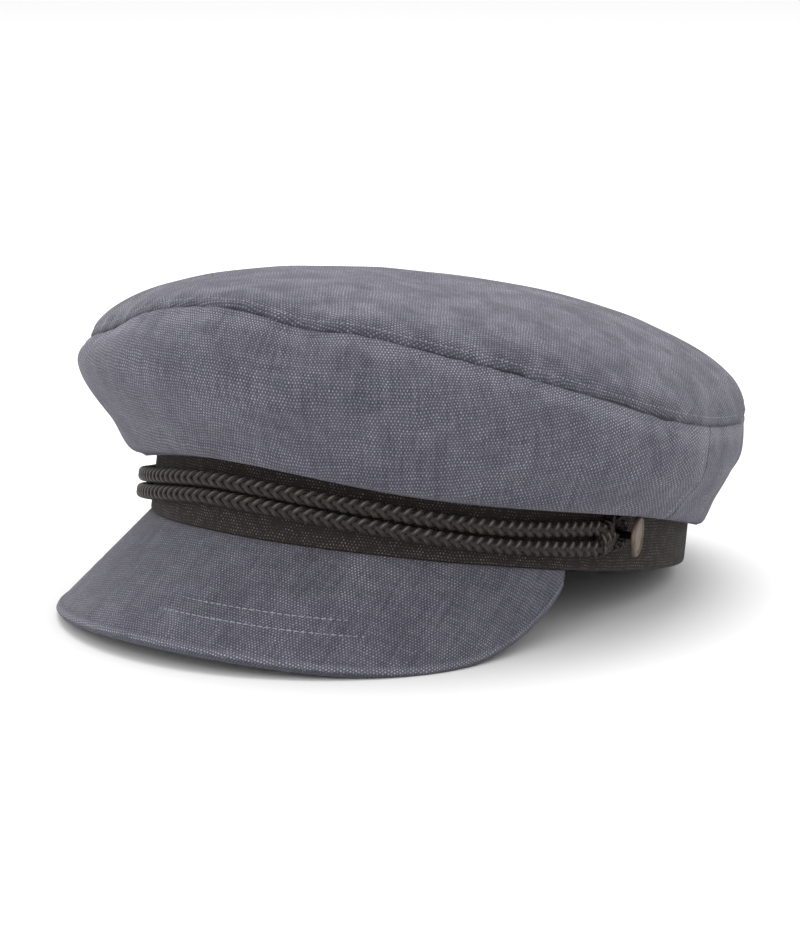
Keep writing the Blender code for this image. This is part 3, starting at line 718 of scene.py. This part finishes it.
def top_cloth():
    angles = [360 * step / TOP_COLUMNS for step in range(TOP_COLUMNS)]
    inwards = [(step / 46) ** 1.75 for step in range(46)]
    points = np.array([dome_run(angle, inwards) for angle in angles]).transpose(1, 0, 2)
    away = run_lengths(points, 0)
    edge = points[0]
    steps = np.linalg.norm(np.roll(edge, -1, axis=0) - edge, axis=1)
    along = np.concatenate([[0], np.cumsum(steps)[:-1]])
    normals = grid_normals(points, True)
    middle = np.clip(1 - away / away[-1:], 0, 1)
    relief = seam_relief(away, along[None, :], 3) + uneven(points, 3) * np.clip(middle * 6, 0, 1)
    points = points + normals * relief[..., None]
    turned_in = points[0] - normals[0] * SEAM_ALLOWANCE
    points = np.concatenate([turned_in[None], points])
    from_tip = run_lengths(points[::-1], 0)[::-1] + np.linalg.norm(points[-1] - np.array(dome_run(0, [1.0])[0]), axis=1)
    bearing = np.arctan2(points[-1][:, 1], points[-1][:, 0])[None, :] - TOP_GRAIN
    cloth_map = np.stack([from_tip * np.cos(bearing), from_tip * np.sin(bearing)], axis=2)
    from_seam = np.concatenate([away[:1], away])
    # Random patches of wear, then painted shade: the top is darkened beside its seam and is darkest on the seam's thin
    # line.
    wear_and_painted_light = 0.6 * soft_noise(points, 0.012, 33) + 0.5 * soft_noise(points, 0.005, 34)
    wear_and_painted_light = np.clip(wear_and_painted_light, -0.3, 1) - 0.22 * np.exp(-((from_seam / 0.005) ** 2)) - np.exp(-((from_seam / 0.00016) ** 2))
    return points, cloth_map, wear_and_painted_light


top_points, top_map, top_wear_and_shade = top_cloth()
top_tip = dome_run(0, [1.0])[0]
top = cloth_piece("crown_top_cloth", top_points, top_map, True, canvas, CLOTH_WALL, top_tip, top_wear_and_shade)
dress(top, ["crown_top"])

# %% [markdown]
# The hat band is a strip of dark cloth, folded over at both edges. A closed cut goes round the head: an
# outer face, a rounded lower fold, an inner face and a rounded upper fold. Where it would sink into the
# table behind, it lies flat on it, as the solid does.

# %% Hat band
TABLE_PRESS = 0.0010
BAND_COLUMNS = 420


def press_flat(points):
    """Cloth that would sink into the table lies flat on it."""
    level = -BAND_HALF_LENGTH * math.sin(TILT) + TABLE_PRESS
    upright = np.array([0, -math.sin(TILT), math.cos(TILT)])
    lift = np.maximum(0, level - points @ upright)
    return points + lift[..., None] * upright


def band_cloth():
    half = BAND_WALL / 2
    cut = []
    for step in range(17):
        cut.append((0.0, half + (BAND_HEIGHT - 2 * half) * (1 - step / 16)))
    for step in range(1, 6):
        turn = math.pi * step / 6
        cut.append((-half + half * math.cos(turn), half - half * math.sin(turn)))
    for step in range(9):
        cut.append((-BAND_WALL, half + (BAND_HEIGHT - 2 * half) * step / 8))
    for step in range(1, 6):
        turn = math.pi * step / 6
        cut.append((-half - half * math.cos(turn), BAND_HEIGHT - half + half * math.sin(turn)))
    cut.append(cut[0])
    angles = [360 * step / BAND_COLUMNS for step in range(BAND_COLUMNS + 1)]
    points = np.array([[band_point(angle, out, height) for angle in angles] for out, height in cut])
    ripple = 0.00022 * soft_noise(points, 0.016, 11)
    ripple[:, -1] = ripple[:, 0]
    outwards = np.array([outward(angle) for angle in angles])
    points = press_flat(points + ripple[..., None] * outwards[None])
    heights = run_lengths(points, 0)
    along = run_lengths(points, 1)[:1]
    cloth_map = np.stack(np.broadcast_arrays(along, -heights), axis=2)
    return points, cloth_map


band_points, band_map = band_cloth()
band = cloth_piece("hat_band_cloth", band_points[:, ::-1], band_map[:, ::-1], False, band_weave, 0)
dress(band, ["hat_band"])

# %% [markdown]
# The peak is a curved board covered in canvas. Its cloth is cut on the straight grain at the front and
# lies over a cone, so its threads turn towards the corners. The upper cloth is folded over the edge and
# stitched in two long rows, which press shallow channels across the front.

# %% Peak
PEAK_WALL = 0.0030
PEAK_REACH = 0.0471
PEAK_HALF_SPREAD = 76.0
PEAK_SLOPE_FRONT = 47.5
PEAK_SLOPE_CORNER = 60.0
PEAK_FORWARD_LEAN = 1.4
PEAK_COLUMNS = 240
PEAK_ROWS = 40
PEAK_STITCH_ROWS = (0.0194, 0.0134)


def peak_length(share):
    """The peak's reach from the band, share -1 at its right corner to 1 at its left."""
    return PEAK_WALL + (PEAK_REACH - PEAK_WALL) * (1 - abs(share) ** 3.5) ** 0.72


def peak_direction(angle, share):
    """The way the peak leaves the band: outwards in front, and leaning forwards at its corners."""
    return (outward(angle) + Vector((0, -PEAK_FORWARD_LEAN * share**4, 0))).normalized()


def peak_cut(share):
    """A closed cut through the peak: flange, upper cloth, rounded edge and under cloth."""
    angle = PEAK_HALF_SPREAD * share
    slope = math.radians(PEAK_SLOPE_FRONT + (PEAK_SLOPE_CORNER - PEAK_SLOPE_FRONT) * share**2)
    length = peak_length(share)
    along = (math.cos(slope), -math.sin(slope))
    under = (-math.sin(slope), -math.cos(slope))
    cut = [(-BAND_WALL, 0.0), (0.0, 0.0)]
    for row in range(1, PEAK_ROWS + 1):
        way = 1 - (1 - row / PEAK_ROWS) ** 1.6
        cut.append((along[0] * length * way, along[1] * length * way))
    edge = cut[-1]
    for step in range(1, 8):
        turn = math.pi * step / 8
        ahead = 0.32 * PEAK_WALL * math.sin(turn) ** 0.5
        depth = PEAK_WALL * (1 - math.copysign(abs(math.cos(turn)) ** 0.6, math.cos(turn))) / 2
        cut.append((edge[0] + along[0] * ahead + under[0] * depth, edge[1] + along[1] * ahead + under[1] * depth))
    for row in range(10, 0, -1):
        way = row / 10
        cut.append((along[0] * length * way + under[0] * PEAK_WALL, along[1] * length * way + under[1] * PEAK_WALL))
    cut += [(-PEAK_WALL * math.tan(slope / 2), -PEAK_WALL), (-BAND_WALL, -PEAK_WALL), cut[0]]
    way_out = peak_direction(angle, share)
    normal = outward(angle)
    points = []
    for x, z in cut:
        base = band_point(angle, min(x, 0.0), z - SEAM_GAP * 0.3)
        points.append(base + (way_out if x > 0 else normal) * max(x, 0.0))
    return points


def peak_cloth():
    shares = [math.sin(math.pi / 2 * (2 * step / PEAK_COLUMNS - 1)) for step in range(PEAK_COLUMNS + 1)]
    points = np.array([peak_cut(share) for share in shares]).transpose(1, 0, 2)
    heights = run_lengths(points, 0)
    along = run_lengths(points, 1)[PEAK_ROWS // 2]
    along -= along[PEAK_COLUMNS // 2]
    normals = grid_normals(points, False)
    away = heights[PEAK_ROWS + 1] - heights
    relief = 0.00018 * soft_noise(points, 0.022, 21)
    relief += 0.00030 * np.exp(-(((away - 0.0008) / 0.0008) ** 2)) - 0.00020 * np.exp(-(((away - 0.0024) / 0.0007) ** 2))
    # Painted highlight: a pale band just above the peak's edge, where the fold catches the light. Below the edge, on
    # the under cloth, painted shade.
    wear_and_painted_light = 1.2 * np.exp(-(((away - 0.0002) / 0.0009) ** 2)) * (0.7 + 0.8 * soft_noise(points, 0.008, 35))
    wear_and_painted_light -= 0.6 * np.clip((-0.0006 - away) / 0.0006, 0, 1)
    for row in PEAK_STITCH_ROWS:
        relief -= 0.00016 * np.exp(-(((away - row) / 0.0007) ** 2))
    relief[PEAK_ROWS + 2:] = 0
    points = press_flat(points - normals * relief[..., None])
    middle = PEAK_COLUMNS // 2
    cone = 0.128 / math.cos(math.radians(PEAK_SLOPE_FRONT))
    reach = cone + heights - heights[PEAK_ROWS // 2]
    turn = along[None, :] / cone
    cloth_map = np.stack([reach * np.sin(turn), -reach * np.cos(turn)], axis=2)
    print("peak reaches", round(1000 * float(heights[PEAK_ROWS + 1, middle] - heights[1, middle]), 1), "mm")
    return points, cloth_map, wear_and_painted_light


peak_points, peak_map, peak_painted_light = peak_cloth()
peak = cloth_piece("peak_cloth", peak_points, peak_map, False, canvas, 0, wear_and_painted_light=peak_painted_light)
dress(peak, ["peak"])

# %% [markdown]
# The trim is a round plait of eight strands. Four wind one way and four the other, and each passes over
# two and under two. A strand's distance from the cord's middle swings twice in each turn, one way for
# the strands that wind left and the other way for those that wind right, and that alone makes them
# cross correctly. Modelling them as real strands gives the plait its own shadows.

# %% Plaits
CORD_DIAMETER = 0.0054
LOOP_DIAMETER = 0.0042
CORD_FULLNESS = 1.06


def spread_evenly(points, step):
    """Points at even steps along a line through given points."""
    points = np.asarray(points, float)
    lengths = np.concatenate([[0], np.cumsum(np.linalg.norm(np.diff(points, axis=0), axis=1))])
    count = max(2, int(round(lengths[-1] / step)) + 1)
    places = np.linspace(0, lengths[-1], count)
    return np.stack([np.interp(places, lengths, points[:, axis]) for axis in range(3)], axis=1), places


def plait(name, route, hints, diameter, closed, material, lead=2.62, sides=8, step=0.0005):
    """A round plait of eight strands along a route. hints point out of the band at each point."""
    line, places = spread_evenly(route, step)
    hint_line = np.stack([np.interp(np.linspace(0, 1, len(line)), np.linspace(0, 1, len(hints)),
                                    np.asarray(hints)[:, axis]) for axis in range(3)], axis=1)
    if closed:
        ahead = np.roll(line[:-1], -1, axis=0) - np.roll(line[:-1], 1, axis=0)
        ahead = np.vstack([ahead, ahead[:1]])
    else:
        ahead = np.gradient(line, axis=0)
    ahead /= np.linalg.norm(ahead, axis=1, keepdims=True)
    side = np.cross(ahead, hint_line)
    side /= np.linalg.norm(side, axis=1, keepdims=True)
    front = np.cross(side, ahead)
    strand_wide, strand_thick = diameter * 0.190, diameter * 0.125
    swing = diameter * 0.070
    ring = diameter / 2 - strand_thick - swing
    turns = places[-1] / (lead * diameter)
    if closed:
        turns = max(1, round(turns))
    spots, map_spots, faces, wear_and_painted_light = [], [], [], []
    for strand in range(8):
        way = 1 if strand % 2 else -1
        phase = way * 2 * np.pi * (places / places[-1] * turns) + np.pi / 2 * (strand // 2)
        distance = ring + way * swing * np.sin(2 * phase)
        outwards = front * np.cos(phase)[:, None] + side * np.sin(phase)[:, None]
        path = line + outwards * distance[:, None]
        heading = np.gradient(path, axis=0)
        heading /= np.linalg.norm(heading, axis=1, keepdims=True)
        across = np.cross(heading, outwards)
        start = len(spots) // sides * sides
        for corner in range(sides):
            turn = 2 * math.pi * corner / sides
            rim = path + across * (strand_wide * math.cos(turn)) + outwards * (strand_thick * math.sin(turn))
            map_spots.append(np.stack([np.full(len(rim), corner / sides + strand), places], axis=1))
            spots.append(rim)
            # Painted highlight: strongest where the strand swings furthest out and faces up.
            painted_highlight = (0.5 + 0.5 * way * np.sin(2 * phase)) ** 2 * np.clip(0.75 + 0.5 * outwards[:, 2], 0, 1)
            wear_and_painted_light.append((corner == sides // 4) * painted_highlight)
        base = strand * sides * len(line)
        count = len(line) - 1
        for corner in range(sides):
            near = base + corner * len(line)
            far = base + (corner + 1) % sides * len(line)
            for spot in range(count):
                faces.append((near + spot, near + spot + 1, far + spot + 1, far + spot))
        for end in (0, count):
            cap = [base + corner * len(line) + end for corner in range(sides)]
            faces.append(tuple(cap if end else cap[::-1]))
    mesh = bpy.data.meshes.new(name)
    mesh.from_pydata([tuple(spot) for spot in to_world(np.concatenate(spots))], [], faces)
    layer = mesh.uv_layers.new(name="ClothUV")
    corner_spots = np.empty(len(mesh.loops), int)
    mesh.loops.foreach_get("vertex_index", corner_spots)
    layer.data.foreach_set("uv", np.concatenate(map_spots)[corner_spots].astype(np.float32).ravel())
    worn = mesh.attributes.new("wear_and_painted_light", "FLOAT", "POINT")
    worn.data.foreach_set("value", np.concatenate(wear_and_painted_light).astype(np.float32))
    mesh.materials.append(material)
    mesh.shade_smooth()
    made = bpy.data.objects.new(name, mesh)
    bpy.context.scene.collection.objects.link(made)
    return made


# %% [markdown]
# Two runs of the plait cross the front of the band, one above the other, a little higher in the middle.
# Their route is the one that the solids follow.

# %% Cords across the front
KNOT_ANGLE = 82.9
KNOT_LENGTH = 0.0072
KNOT_HEIGHT = 0.0155
KNOT_DEPTH = 0.0068
CORD_ROUTE = [
    {"angle": -90, "middle": 0.42, "spread": 0.24},
    {"angle": -60, "middle": 0.28, "spread": 0.04},
    {"angle": -30, "middle": 0.37, "spread": 0.00},
    {"angle": 0, "middle": 0.51, "spread": 0.00},
    {"angle": 30, "middle": 0.45, "spread": 0.00},
    {"angle": 60, "middle": 0.36, "spread": 0.04},
    {"angle": 90, "middle": 0.43, "spread": 0.24},
]


def cord_height(angle, side):
    """The height of the upper (side 1) or lower (side -1) run's middle."""
    middle = BAND_HEIGHT * rows_value(CORD_ROUTE, "middle", angle)
    apart = CORD_DIAMETER * (1 + rows_value(CORD_ROUTE, "spread", angle)) + TRIM_GAP
    return middle + side * apart / 2


def cord_run(name, node, side):
    reach = KNOT_ANGLE - KNOT_LENGTH / 4 / arc_per_degree(KNOT_ANGLE)
    angles = np.linspace(-reach, reach, 260)
    out = TRIM_GAP + CORD_DIAMETER / 2
    route = [band_point(angle, out, cord_height(angle, side)) for angle in angles]
    hints = [outward(angle) for angle in angles]
    made = plait(name, route, hints, CORD_DIAMETER * CORD_FULLNESS, False, cord_yarn, lead=2.47)
    length = sum((b - a).length for a, b in zip(route, route[1:]))
    print(f"{name} is {1000 * length:.0f} mm long")
    return dress(made, [node])


cord_run("upper_cord_plait", "cord_upper", 1)
cord_run("lower_cord_plait", "cord_lower", -1)

# %% [markdown]
# On each side two turns of the same cord are wrapped round both runs and hold them together, the one
# behind a little higher than the one in front.

# %% Knots
KNOT_WRAPS = 2
KNOT_STEP = 0.0020
KNOT_SLANT = 0.22


def knot(hand, side):
    middle = BAND_HEIGHT * rows_value(CORD_ROUTE, "middle", side * KNOT_ANGLE)
    wrap = KNOT_LENGTH / KNOT_WRAPS
    turns = np.linspace(0, 2 * math.pi * KNOT_WRAPS, 180)
    route, hints = [], []
    for turn in turns:
        along = (turn / (2 * math.pi) / KNOT_WRAPS - 0.5) * (KNOT_LENGTH - wrap)
        angle = side * (KNOT_ANGLE + along / arc_per_degree(KNOT_ANGLE))
        out = TRIM_GAP + KNOT_DEPTH / 2 + (KNOT_DEPTH - wrap) / 2 * math.cos(turn)
        rise = (KNOT_HEIGHT - 2 * KNOT_STEP - wrap) / 2 * math.sin(turn)
        rise += KNOT_STEP * 2 * along / (KNOT_LENGTH - wrap)
        angle += side * KNOT_SLANT * rise / arc_per_degree(KNOT_ANGLE)
        route.append(band_point(angle, out, middle + rise))
        spin = outward(angle) * math.cos(turn) + Vector((0, 0, math.sin(turn)))
        hints.append(spin)
    made = plait("knot_plait_" + hand, route, hints, wrap * 1.12, False, cord_yarn, lead=4.4, step=0.0004)
    return dress(made, ["cord_knot_" + hand])


knot("left", 1)
knot("right", -1)

# %% [markdown]
# The cord's end leaves the knot, goes round the button's shank and comes back.

# %% End loops
BUTTON_ANGLE = 86.0
BUTTON_TILT = 27.0
BUTTON_LIFT = 0.0015
SHANK_DIAMETER = 0.0026
LOOP_SLACK = 0.0006


def end_loop(hand, side):
    middle = BAND_HEIGHT * rows_value(CORD_ROUTE, "middle", side * KNOT_ANGLE)
    degree = arc_per_degree(BUTTON_ANGLE)
    start = KNOT_ANGLE + KNOT_LENGTH * 0.3 / degree
    bend = SHANK_DIAMETER / 2 + TRIM_GAP + LOOP_SLACK + LOOP_DIAMETER / 2
    half_gap = max(bend, LOOP_DIAMETER / 2 + TRIM_GAP)
    route = [(start, half_gap)]
    for step in range(31):
        turn = math.pi * (0.5 - step / 30)
        route.append((BUTTON_ANGLE + bend * math.cos(turn) / degree, half_gap * math.sin(turn)))
    route.append((start, -half_gap))
    out = TRIM_GAP + LOOP_DIAMETER / 2
    points = [band_point(side * angle, out, middle + BUTTON_LIFT + rise) for angle, rise in route]
    hints = [outward(side * angle) for angle, rise in route]
    made = plait("loop_plait_" + hand, points, hints, LOOP_DIAMETER, False, cord_yarn)
    return dress(made, ["cord_loop_" + hand])


end_loop("left", 1)
end_loop("right", -1)

# %% [markdown]
# The button is turned from one profile: a slightly hollow face, a raised rim with a fine groove inside
# it, a rounded edge and a shank.

# %% Buttons
BUTTON_DIAMETER = 0.0137
BUTTON_WALL = 0.0018
BUTTON_RIM = 0.0009


def button(hand, side):
    middle = BAND_HEIGHT * rows_value(CORD_ROUTE, "middle", side * KNOT_ANGLE)
    tilt = math.radians(BUTTON_TILT)
    loop_reach = SHANK_DIAMETER / 2 + TRIM_GAP + LOOP_SLACK + LOOP_DIAMETER
    stand = 2 * TRIM_GAP + LOOP_DIAMETER + loop_reach * math.tan(tilt)
    radius = BUTTON_DIAMETER / 2
    top = stand + BUTTON_WALL
    face = top - BUTTON_RIM * 0.4
    profile = [(0, face), (radius * 0.5, face + 0.00003), (radius - 2.2 * BUTTON_RIM, face),
               (radius - 1.7 * BUTTON_RIM, face - 0.00018), (radius - 1.3 * BUTTON_RIM, face),
               (radius - 0.95 * BUTTON_RIM, top - 0.00006), (radius - 0.7 * BUTTON_RIM, top),
               (radius - 0.35 * BUTTON_RIM, top - 0.00010), (radius - 0.08 * BUTTON_RIM, top - 0.00045),
               (radius, stand + BUTTON_WALL * 0.5), (radius - 0.12 * BUTTON_RIM, stand + 0.00035),
               (radius - 0.5 * BUTTON_RIM, stand + 0.00008), (radius - BUTTON_RIM, stand),
               (SHANK_DIAMETER * 0.9, stand), (SHANK_DIAMETER / 2, stand - 0.0004), (SHANK_DIAMETER / 2, 0),
               (0, 0)]
    foot_out = TRIM_GAP + SHANK_DIAMETER / 2 * math.sin(tilt)
    foot = band_point(side * BUTTON_ANGLE, foot_out, middle + BUTTON_LIFT)
    axis = outward(side * BUTTON_ANGLE)
    back = Vector((0, 0, 1)).cross(axis) * side
    face_way = axis * math.cos(tilt) + back * math.sin(tilt)
    level = Vector((0, 0, 1)).cross(face_way)
    rows = []
    for out, rise in profile:
        ring = []
        for step in range(72):
            turn = 2 * math.pi * step / 72
            spin = level * math.cos(turn) + Vector((0, 0, 1)) * math.sin(turn)
            ring.append(foot + face_way * rise + spin * out)
        rows.append(ring)
    points = np.array(rows)
    cloth_map = np.zeros(points.shape[:2] + (2,))
    shank_shade = np.zeros(points.shape[:2])
    # The shank rows carry the painted shade.
    shank_shade[:4] = -1
    made = cloth_piece("button_turned_" + hand, points[::-1], cloth_map, True, button_metal, 0, wear_and_painted_light=shank_shade)
    return dress(made, ["button_" + hand])


button("left", 1)
button("right", -1)

# %% [markdown]
# Rows of stitches hold the seams down: one in the side cloth and one in the top cloth, a few millimetres
# from the seam between them, one beside each side seam, and two across the peak. Each stitch is a short
# piece of thread that rises out of the cloth and dives back into it.

# %% Stitches
THREAD_DIAMETER = 0.00042


def stitch_row(name, line, normals, pitch, sink=0.00012, fade=0.0):
    """A row of stitches along points on the cloth, each a short bowed thread. A faded row sinks at its ends."""
    line, places = spread_evenly(line, pitch / 6)
    ways = np.linspace(0, 1, len(line))
    given = np.linspace(0, 1, len(normals))
    normals = np.stack([np.interp(ways, given, np.asarray(normals)[:, axis]) for axis in range(3)], axis=1)
    sides, joints = 5, 5
    spots, map_spots, faces = [], [], []
    count = int(places[-1] / pitch)
    for stitch in range(count):
        middle_place = (stitch + 0.5) * pitch
        start_index = len(spots)
        for joint in range(joints):
            share = joint / (joints - 1)
            place = middle_place + (share - 0.5) * pitch * 0.78
            centre = np.array([np.interp(place, places, line[:, axis]) for axis in range(3)])
            normal = np.array([np.interp(place, places, normals[:, axis]) for axis in range(3)])
            ahead = np.array([np.interp(place + 0.0002, places, line[:, axis]) for axis in range(3)]) - centre
            ahead /= max(np.linalg.norm(ahead), 1e-9)
            across = np.cross(ahead, normal)
            lift = THREAD_DIAMETER * (0.62 * math.sin(math.pi * share) - 0.35) + CLOTH_WALL / 2 - sink
            lift -= fade * (2 * middle_place / places[-1] - 1) ** 4
            for corner in range(sides):
                turn = 2 * math.pi * corner / sides
                rim = centre + normal * (lift + THREAD_DIAMETER / 2 * math.sin(turn))
                spots.append(rim + across * (THREAD_DIAMETER / 2 * math.cos(turn)))
                map_spots.append((corner / sides * 0.001, place))
        for joint in range(joints - 1):
            for corner in range(sides):
                near = start_index + joint * sides
                far = near + sides
                after = (corner + 1) % sides
                faces.append((near + corner, near + after, far + after, far + corner))
    mesh = bpy.data.meshes.new(name)
    mesh.from_pydata([tuple(spot) for spot in to_world(spots)], [], faces)
    layer = mesh.uv_layers.new(name="ClothUV")
    corner_spots = np.empty(len(mesh.loops), int)
    mesh.loops.foreach_get("vertex_index", corner_spots)
    layer.data.foreach_set("uv", np.array(map_spots)[corner_spots].astype(np.float32).ravel())
    mesh.materials.append(sewing_thread)
    mesh.shade_smooth()
    made = bpy.data.objects.new(name, mesh)
    bpy.context.scene.collection.objects.link(made)
    print(name, count, "stitches")
    return dress(made, [])


def line_at(points, normals, away, distance):
    """The line on a grid that lies at one distance, by a grid of distances that fall or rise by rows."""
    line, ups = [], []
    for column in range(points.shape[1]):
        order = np.argsort(away[:, column])
        row = away[order, column]
        line.append([np.interp(distance, row, points[order, column, axis]) for axis in range(3)])
        ups.append([np.interp(distance, row, normals[order, column, axis]) for axis in range(3)])
    return np.array(line), np.array(ups)


def seam_distances(points, from_last):
    heights = run_lengths(points, 0)
    return heights[-1:] - heights if from_last else heights


SEAM_STITCH = 0.0017
SIDE_INSET = 0.0030
for panel, points in (("front", front_points), ("back", back_points)):
    shown = points[:-1]
    line, ups = line_at(shown, grid_normals(shown, False), seam_distances(shown, True), STITCH_INSET)
    stitch_row(panel + "_seam_stitches", line, ups, SEAM_STITCH, sink=0.00024)

shown = top_points[1:]
line, ups = line_at(shown, grid_normals(shown, True), seam_distances(shown, False), STITCH_INSET)
line = np.vstack([line, line[:1]])
ups = np.vstack([ups, ups[:1]])
stitch_row("top_seam_stitches", line, ups, SEAM_STITCH, sink=0.00020)

visible = front_points[11:-1]
around = run_lengths(visible, 1)
turned = [grid.transpose(1, 0, 2) for grid in (visible, grid_normals(visible, False))]
for hand, away in (("right", around), ("left", around[:, -1:] - around)):
    line, ups = line_at(*turned, away.T, SIDE_INSET)
    stitch_row("side_seam_stitches_" + hand, line, ups, SEAM_STITCH)

# %% [markdown]
# The two rows on the peak run across its front, about two centimetres from the edge, and fade out
# towards the corners where the cloth was only pressed.

# %% Peak stitches
PEAK_STITCH = 0.0024
PEAK_STITCH_START = (120, 116)
PEAK_STITCH_END = (158, 162)
for order, from_edge in enumerate(PEAK_STITCH_ROWS):
    upper = peak_points[1:PEAK_ROWS + 2]
    inner = slice(PEAK_STITCH_START[order], PEAK_STITCH_END[order])
    line, ups = line_at(upper[:, inner], grid_normals(upper, False)[:, inner],
                        seam_distances(upper, True)[:, inner], from_edge)
    stitch_row(f"peak_stitches_{order + 1}", line, -ups, PEAK_STITCH, sink=CLOTH_WALL / 2, fade=0.0004)

# %% [markdown]

# %% Empty cell


# %% [markdown]
# The photograph's light is a soft white studio: an almost even sky with a large soft box above and behind,
# over a plain pale floor. The plain view transform keeps the floor near white, as in the photograph.

# %% Floor and light
FLOOR_SIZE = 6.0
floor_mesh = bpy.data.meshes.new("floor")
half = FLOOR_SIZE / 2
floor_mesh.from_pydata([(-half, -half, 0), (half, -half, 0), (half, half, 0), (-half, half, 0)], [], [(0, 1, 2, 3)])
floor = bpy.data.objects.new("floor", floor_mesh)
floor_material = bpy.data.materials.new("floor_paper")
floor_material.use_nodes = True
floor_shader = floor_material.node_tree.nodes["Principled BSDF"]
floor_shader.inputs["Base Color"].default_value = colour(0.90, 0.90, 0.90)
floor_shader.inputs["Roughness"].default_value = 0.9
floor_mesh.materials.append(floor_material)
bpy.context.scene.collection.objects.link(floor)

world = bpy.data.worlds.new("studio")
world.use_nodes = True
world.node_tree.nodes["Background"].inputs["Color"].default_value = colour(1.0, 1.0, 1.0)
world.node_tree.nodes["Background"].inputs["Strength"].default_value = 1.0
bpy.context.scene.world = world
bpy.context.scene.view_settings.view_transform = "Standard"


def soft_box(name, place, aim, size, power):
    made = bpy.data.objects.new(name, bpy.data.lights.new(name, "AREA"))
    made.data.shape = "RECTANGLE"
    made.data.size, made.data.size_y = size
    made.data.energy = power
    made.location = place
    made.rotation_euler = (Vector(place) - Vector(aim)).to_track_quat("Z", "Y").to_euler()
    bpy.context.scene.collection.objects.link(made)
    return made


soft_box("overhead_box", (-0.3, 0.4, 1.5), (0, 0, 0.05), (1.6, 1.6), 19.0)
soft_box("front_box", (0.3, -1.5, 0.8), (0, 0, 0.05), (1.0, 1.0), 5.0)
